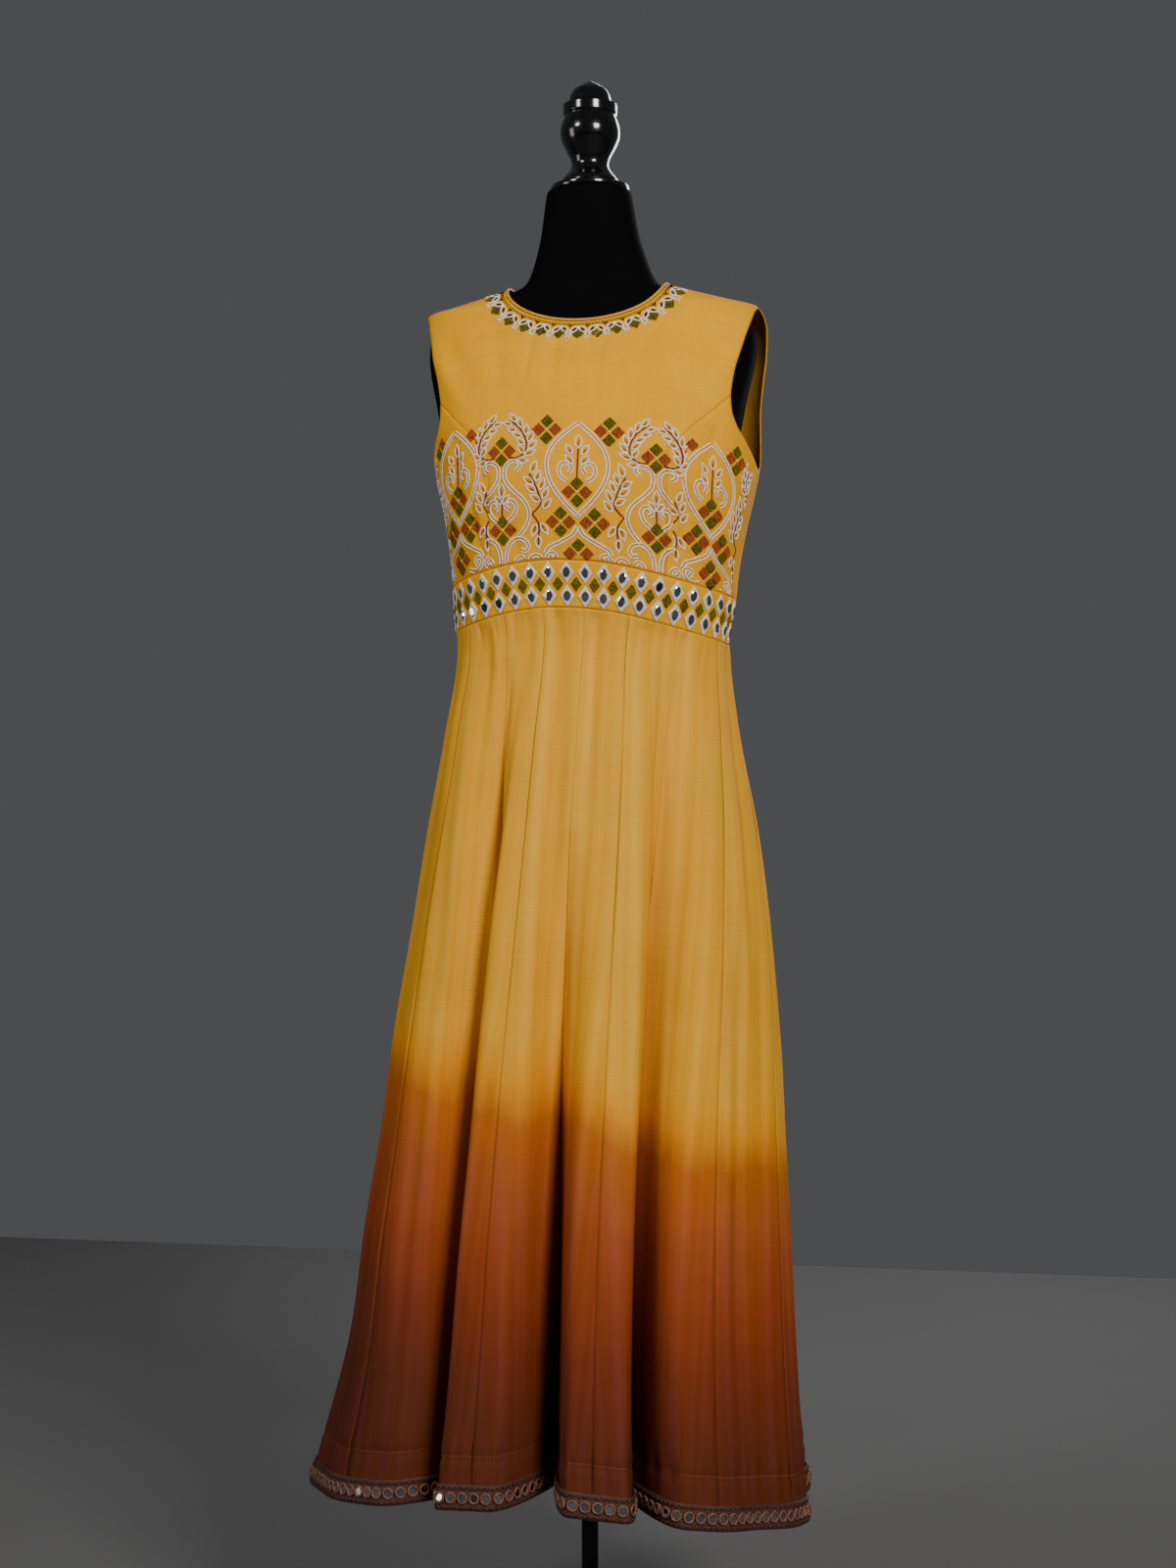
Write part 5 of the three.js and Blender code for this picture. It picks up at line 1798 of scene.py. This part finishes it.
def sew_mirror(a, rise, draw):
    BAND_BOOKS["white_pads"].add(a, rise, 0.0, MIRROR_WIDTH, MIRROR_HEIGHT * 0.98, 2.0)
    for share, pitch, thickness in MIRROR_WALLS:
        path = lozenge_path(a, rise, MIRROR_WIDTH / 2 * share, MIRROR_HEIGHT / 2 * share, pitch)
        ahead = np.roll(path, -1, axis=0) - np.roll(path, 1, axis=0)
        for (x, z), (dx, dz) in zip(path, ahead):
            turn = math.atan2(dz, dx) + 0.5 + draw.uniform(-0.2, 0.2)
            BAND_BOOKS["white"].add(x, z, turn, 2.2, 1.5, thickness)
    BAND_BOOKS["glass"].add(a, rise, draw.uniform(-0.08, 0.08), *GLASS_SIZE)


def sew_band():
    draw = random.Random(57)
    pitch = BAND_LENGTH / MIRRORS_PER_ROW
    for row in range(MIRROR_ROWS):
        for index in range(MIRRORS_PER_ROW):
            sew_mirror((index + 0.5) * pitch, (row + 0.5) * BAND_HEIGHT / MIRROR_ROWS, draw)
    for index in range(MIRRORS_PER_ROW + 1):
        a = min(max(index * pitch, END_INSET), BAND_LENGTH - END_INSET)
        across = BAND_LOZENGE_HALF if 0 < index < MIRRORS_PER_ROW else END_LOZENGE_HALF
        BAND_BOOKS["pads"].add(a, BAND_HEIGHT / 2, 0.0, across * 1.95, 15.6, 1.0)
        for x, y in diamond_places(BAND_KNOT_ROWS):
            size = draw.uniform(1.5, 1.9)
            place = (a + x * across + stray(draw), BAND_HEIGHT / 2 + y * BAND_KNOT_RISE + stray(draw))
            BAND_BOOKS["knots"].add(*place, draw.uniform(0, KNOT_TURN), size, size, KNOT_HEIGHT)


def tilt_mirrors(frames, draw, most):
    """Leans every mirror a little, each its own way."""
    leans = np.array([(draw.uniform(-most, most), draw.uniform(-most, most)) for _ in frames])
    outward = unit(frames[:, 2] + leans[:, :1] * frames[:, 0] + leans[:, 1:] * frames[:, 1])
    along = flattened(frames[:, 0], outward)
    return np.stack([along, np.cross(outward, along), outward], axis=1)


WHITE_PAD = thread_finish("white_ground", srgb(214, 206, 202), srgb(176, 168, 164), 0.7)
sew_band()
for name, base, material in (("white", STITCH, WHITE_THREAD), ("knots", KNOT, OLIVE_THREAD),
                             ("pads", TILE, OLIVE_PAD), ("white_pads", TILE, WHITE_PAD)):
    piece = BAND_BOOKS[name].sew("waistband_" + name, base, material)
    print(piece.name, len(BAND_BOOKS[name].rows), "stitches")


def set_mirrors(name, rows, frames_of, lean, seed):
    table = np.array(rows)
    places, frames = frames_of(table[:, 0], table[:, 1], table[:, 2])
    frames = tilt_mirrors(frames, random.Random(seed), lean)
    piece = joined_copies(name, GLASS, places, frames, table[:, 3:6], MIRROR, smooth=False)
    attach(piece, "root")


set_mirrors("waistband_mirrors", BAND_BOOKS["glass"].rows, band_frames, 0.22, 5)
print(len(BAND_BOOKS["glass"].rows), "mirrors on the band")

# %% [markdown]
# ## Mirrors and braid on the hem tape
#
# The same way of working decorates the hem tape: round mirrors in a row, each in a ring of brown
# thread, between two braided edges.

# %% The hem tape as a strip
TAPE_RINGS = np.stack([
    ring + level_outward(ring) * TAPE_OFFSET
    for ring in (skirt_ring(t) for t in np.linspace(1, TAPE_TOP_T, 5))
])
TAPE_RINGS = np.concatenate([TAPE_RINGS, TAPE_RINGS[:, :1]], axis=1)
TAPE_LENGTH = walked(TAPE_RINGS[2])
TAPE_HEIGHT = float(np.linalg.norm(np.diff(TAPE_RINGS, axis=0), axis=-1).sum(axis=0).mean())


def tape_place(a, rise):
    column = np.interp(np.mod(a, TAPE_LENGTH[-1]), TAPE_LENGTH, np.arange(len(TAPE_LENGTH)))
    return read_between(TAPE_RINGS, np.clip(rise / TAPE_HEIGHT * 4, 0, 3.999), column)


def tape_frames(a, rise, turn):
    around = unit(tape_place(a + 1.5, rise) - tape_place(a - 1.5, rise))
    upward = flattened(tape_place(a, rise + 2) - tape_place(a, rise - 2), around)
    return turned_frames(tape_place(a, rise), around, upward, np.cross(around, upward), turn)


def model_ring():
    """A ring of thread round a mirror, 1 mm wide over all, flattened onto the tape."""
    piece = start_shape(bpy.ops.mesh.primitive_torus_add, major_segments=12, minor_segments=5,
                        major_radius=0.41 * MM, minor_radius=0.09 * MM, location=(0, 0, 0.07 * MM))
    bpy.ops.mesh.normals_make_consistent(inside=False)
    return finished_mesh(piece)


RING = model_ring()
MIRROR_PITCH = 12.4
RING_SIZE = (12.2, 12.2, 16)
ROUND_GLASS_SIZE = (8.8, 8.8, 1.0)
TAPE_BOOKS = {name: NeedleBook(tape_frames) for name in ("rings", "glass", "braid")}
TAPE_ROUND = float(TAPE_LENGTH[-1])
TAPE_MIRRORS = round(TAPE_ROUND / MIRROR_PITCH)
BRAID_PITCH = 3.1
BRAID_INSET = 3.2
BRAID_LEAN = 0.75


def sew_tape():
    middle = TAPE_HEIGHT / 2
    pitch = TAPE_ROUND / TAPE_MIRRORS
    for index in range(TAPE_MIRRORS):
        a = (index + 0.5) * pitch
        TAPE_BOOKS["rings"].add(a, middle, 0.0, *RING_SIZE)
        TAPE_BOOKS["glass"].add(a, middle, 0.0, *ROUND_GLASS_SIZE)
    count = round(TAPE_ROUND / BRAID_PITCH)
    for index in range(count):
        lean = BRAID_LEAN if index % 2 else -BRAID_LEAN
        for rise in (BRAID_INSET, TAPE_HEIGHT - BRAID_INSET):
            TAPE_BOOKS["braid"].add(index * TAPE_ROUND / count, rise, lean, 5.6, 2.5, 1.9)


BRAID_THREAD = thread_finish("brown_braid", srgb(92, 58, 46), srgb(40, 22, 20), 0.5)
RING_THREAD = thread_finish("ring_thread", srgb(146, 102, 78), srgb(84, 52, 40), 0.5)
sew_tape()
TAPE_BOOKS["rings"].sew("tape_rings", RING, RING_THREAD)
TAPE_BOOKS["braid"].sew("tape_braid", STITCH, BRAID_THREAD)
set_mirrors("tape_mirrors", TAPE_BOOKS["glass"].rows, tape_frames, 0.2, 9)
print(TAPE_MIRRORS, "mirrors on a tape", round(TAPE_ROUND), "mm long and", round(TAPE_HEIGHT, 1), "mm high")

# %% [markdown]
# ## The dress form
#
# A real form is a moulded body under stretched black velvet, closed with a turned and lacquered
# wooden finial. The measured body is already right, but its faces are broad. A copy of it is
# welded, turned back into quads and subdivided, which rounds it without growing it.

# %% Form body
def velvet_finish():
    finish = Finish("form_velvet", (0.0012, 0.0012, 0.0014), 0.85)
    place = finish.place()
    nap = finish.noise(place, 900, 3.0, 0.7)
    patch = finish.noise(place, 14, 3.0)
    finish.rough(patch * 0.2 + 0.72)
    finish.bump(nap, 0.0003, 0.35)
    finish.set("Specular IOR Level", 0.06)
    return finish.material


def lacquer_finish():
    finish = Finish("black_lacquer", (0.0015, 0.0015, 0.002), 0.16)
    grain = finish.noise(finish.scaled(finish.place(), (30, 30, 4)), 1.0, 3.0)
    finish.rough(grain * 0.12 + 0.1)
    finish.bump(grain, 0.0004, 0.15)
    finish.set("Coat Weight", 0.6)
    finish.set("Coat Roughness", 0.08)
    return finish.material


def steel_finish():
    finish = Finish("stand_metal", (0.02, 0.02, 0.022), 0.38, 0.85)
    scuff = finish.noise(finish.place(), 55, 4.0, 0.6)
    finish.rough(scuff * 0.25 + 0.26)
    finish.color(finish.mix(scuff, (0.012, 0.012, 0.013), (0.035, 0.035, 0.038)))
    return finish.material


VELVET = velvet_finish()
LACQUER = lacquer_finish()
STEEL = steel_finish()


def build_form_body():
    node = bpy.data.objects["form_torso"]
    piece = node.copy()
    piece.data = node.data.copy()
    piece.name = piece.data.name = "form_torso_velvet"
    bpy.context.scene.collection.objects.link(piece)
    only(piece)
    bpy.ops.object.mode_set(mode="EDIT")
    bpy.ops.mesh.select_all(action="SELECT")
    bpy.ops.mesh.remove_doubles(threshold=0.00005)
    bpy.ops.mesh.tris_convert_to_quads(face_threshold=math.radians(60), shape_threshold=math.radians(60))
    bpy.ops.object.mode_set(mode="OBJECT")
    smooth = piece.modifiers.new("rounding", "SUBSURF")
    smooth.levels = smooth.render_levels = 2
    apply_modifiers(piece)
    piece.data.shade_smooth()
    piece.data.materials.clear()
    piece.data.materials.append(VELVET)
    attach(piece, "root")
    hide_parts("form_torso")
    return piece


form_body = build_form_body()
print("form body:", len(form_body.data.polygons), "faces")

# %% [markdown]
# ## Turned wood and the stand
#
# A turned piece is a profile swept round an axis. It grows here from a disc: its rim is extruded
# upward ring by ring, and every new ring is scaled to the profile's next radius.

# %% Turned pieces
def turn_piece(name, profile, material, segments=72):
    """Raises a closed turned piece from rows of (radius, height) in millimetres."""
    radius, height = profile[0]
    bpy.ops.object.select_all(action="DESELECT")
    bpy.ops.mesh.primitive_circle_add(
        vertices=segments, radius=radius * MM, fill_type="TRIFAN", location=(0, 0, height * MM))
    piece = bpy.context.active_object
    piece.name = piece.data.name = name
    bpy.ops.object.mode_set(mode="EDIT")
    bpy.ops.mesh.select_all(action="SELECT")
    bpy.ops.mesh.region_to_loop()
    for next_radius, next_height in profile[1:]:
        bpy.ops.mesh.extrude_edges_move(
            TRANSFORM_OT_translate={"value": (0, 0, (next_height - height) * MM)})
        scale = next_radius / radius
        bpy.ops.transform.resize(value=(scale, scale, 1))
        radius, height = next_radius, next_height
    bpy.ops.mesh.edge_face_add()
    bpy.ops.mesh.poke()
    bpy.ops.mesh.select_all(action="SELECT")
    bpy.ops.mesh.normals_make_consistent(inside=False)
    bpy.ops.object.mode_set(mode="OBJECT")
    bpy.ops.object.transform_apply(location=True, rotation=True, scale=True)
    bpy.ops.object.shade_smooth_by_angle(angle=math.radians(35))
    piece.data.materials.append(material)
    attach(piece, "root")
    print(name, len(piece.data.polygons), "faces")
    return piece


FORM_TOP_Z = 1593.6
REST_GAP = 0.3
DISC_RADIUS = 41.7
DISC_THICKNESS = 5.4
FINIAL_FOOT_Z = FORM_TOP_Z + REST_GAP + DISC_THICKNESS + REST_GAP
# Columns: height over the finial's foot and radius.
FINIAL_ROWS = [
    (0, 31.5), (4.7, 30.8), (8.7, 28.1), (13.7, 23.8), (18.4, 20.9), (23.3, 19.9), (28.1, 20.7), (34.7, 23.8),
    (42.7, 28.1), (51.5, 31.5), (57.3, 32.1), (62.7, 31.5), (70.7, 29), (74.7, 27.4), (77.7, 29), (86.4, 29),
    (89.3, 23.3), (96.1, 21.5), (102.7, 18), (107.7, 10.7), (112, 3),
]
FINIAL_STEPS = 85


def finial_profile():
    rises, radii = zip(*FINIAL_ROWS)
    radius_at = smooth_column(rises, radii)
    levels = sorted(set(np.linspace(0, rises[-1], FINIAL_STEPS).round(2)) | set(rises))
    return [(float(radius_at(rise)), FINIAL_FOOT_Z + rise) for rise in levels]


DISC_LOW = FORM_TOP_Z + REST_GAP
DISC_HIGH = FORM_TOP_Z + REST_GAP + DISC_THICKNESS
DISC_PROFILE = [
    (DISC_RADIUS - 1.2, DISC_LOW), (DISC_RADIUS - 0.3, DISC_LOW + 0.4), (DISC_RADIUS, DISC_LOW + 1.2),
    (DISC_RADIUS, DISC_HIGH - 1.2), (DISC_RADIUS - 0.3, DISC_HIGH - 0.4), (DISC_RADIUS - 1.2, DISC_HIGH),
]
POLE_RADIUS = 8.9
POLE_CHAMFER = 0.8
HUB_TOP_Z = 40
FORM_BOTTOM_Z = 800
POLE_LOW, POLE_HIGH = HUB_TOP_Z + REST_GAP, FORM_BOTTOM_Z - REST_GAP
POLE_PROFILE = [
    (POLE_RADIUS - POLE_CHAMFER, POLE_LOW), (POLE_RADIUS, POLE_LOW + POLE_CHAMFER),
    (POLE_RADIUS, POLE_HIGH - POLE_CHAMFER), (POLE_RADIUS - POLE_CHAMFER, POLE_HIGH),
]
BASE_PROFILE = [
    (172, 0), (174.4, 0.8), (175, 2), (175, 6), (174.3, 8.2), (171, 10.2), (163, 12), (120, 13), (80, 14),
    (44, 15), (34, 16), (28, 19), (24.6, 23), (23.6, 27), (22, 32), (20, 37), (18.6, 39.3), (17, 40),
]

piece = turn_piece("finial_turned", finial_profile(), LACQUER)
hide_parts("form_finial")

piece = turn_piece("neck_disc_turned", DISC_PROFILE, LACQUER)
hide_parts("form_neck_disc")

piece = turn_piece("pole_tube", POLE_PROFILE, STEEL, 48)
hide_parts("stand_pole")

piece = turn_piece("base_plate", BASE_PROFILE, STEEL, 112)
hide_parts("stand_base")

# %% [markdown]
# ## Floor, light and camera
#
# The part stands on a plain grey floor with a plain grey room behind it. Soft lamps give the
# gentle studio shade of the photograph: the strongest stands in front and to the right, a weaker
# one lifts the left side of the bodice, and the folds keep their shade.

# %% Studio
FLOOR_SIZE = 9
FLOOR_BEHIND = 2.2


def grey_floor():
    finish = Finish("grey_floor", (0.08, 0.08, 0.082), 0.9)
    cloud = finish.noise(finish.place(), 1.3, 3.0)
    finish.color(finish.mix(cloud, (0.072, 0.072, 0.074), (0.088, 0.088, 0.09)))
    bpy.ops.object.select_all(action="DESELECT")
    bpy.ops.mesh.primitive_plane_add(size=FLOOR_SIZE, location=(0, FLOOR_BEHIND - FLOOR_SIZE / 2, -0.001))
    floor = bpy.context.active_object
    floor.name = "studio_floor"
    floor.data.materials.append(finish.material)


def soft_lamp(name, place, aim, size, watts, color):
    lamp = bpy.data.lights.new(name, "AREA")
    lamp.shape = "RECTANGLE"
    lamp.size, lamp.size_y = size
    lamp.energy = watts
    lamp.color = color
    stand = bpy.data.objects.new(name, lamp)
    bpy.context.scene.collection.objects.link(stand)
    stand.location = place
    stand.rotation_euler = (Vector(aim) - Vector(place)).to_track_quat("-Z", "Y").to_euler()


# Columns: name, place, aim and size in metres, watts and colour.
LAMPS = [
    ("key", (1.9, -2.7, 2.5), (0, 0, 0.85), (1.0, 1.2), 128, (1, 0.96, 0.9)),
    ("left", (-1.7, -2.0, 2.7), (0, 0, 1.4), (0.6, 0.6), 29, (1, 0.98, 0.96)),
    ("low_left", (-2.7, -1.3, 1.3), (0, 0, 0.7), (0.8, 1.6), 15, (1, 0.98, 0.96)),
    ("back", (0.5, 2.8, 2.2), (0, 0, 1.1), (2.0, 1.6), 55, (1, 1, 1)),
]
ROOM_COLOR = (0.86, 0.88, 0.9, 1)
ROOM_LIGHT = 0.09

grey_floor()
for lamp_row in LAMPS:
    soft_lamp(*lamp_row)

world = bpy.data.worlds.new("studio")
world.use_nodes = True
room = world.node_tree.nodes["Background"]
room.inputs["Color"].default_value = ROOM_COLOR
room.inputs["Strength"].default_value = ROOM_LIGHT
bpy.context.scene.world = world
print(len(LAMPS), "lamps")

# %% Camera
CAMERA_DISTANCE = 2.5
CAMERA_HEIGHT = 0.96
CAMERA_AZIMUTH = math.radians(10)
CAMERA_ASIDE = -0.0021
SENSOR_WIDTH = 36
LENS = 53.6

camera_data = bpy.data.cameras.new("photo_view")
camera_data.sensor_width = SENSOR_WIDTH
camera_data.lens = LENS
camera = bpy.data.objects.new("photo_view", camera_data)
bpy.context.scene.collection.objects.link(camera)
back = Vector((math.sin(CAMERA_AZIMUTH), -math.cos(CAMERA_AZIMUTH), 0))
sideways = Vector((math.cos(CAMERA_AZIMUTH), math.sin(CAMERA_AZIMUTH), 0))
camera.location = back * CAMERA_DISTANCE + sideways * CAMERA_ASIDE + Vector((0, 0, CAMERA_HEIGHT))
camera.rotation_euler = back.to_track_quat("Z", "Y").to_euler()
bpy.context.scene.camera = camera
print("camera at", [round(value, 3) for value in camera.location])
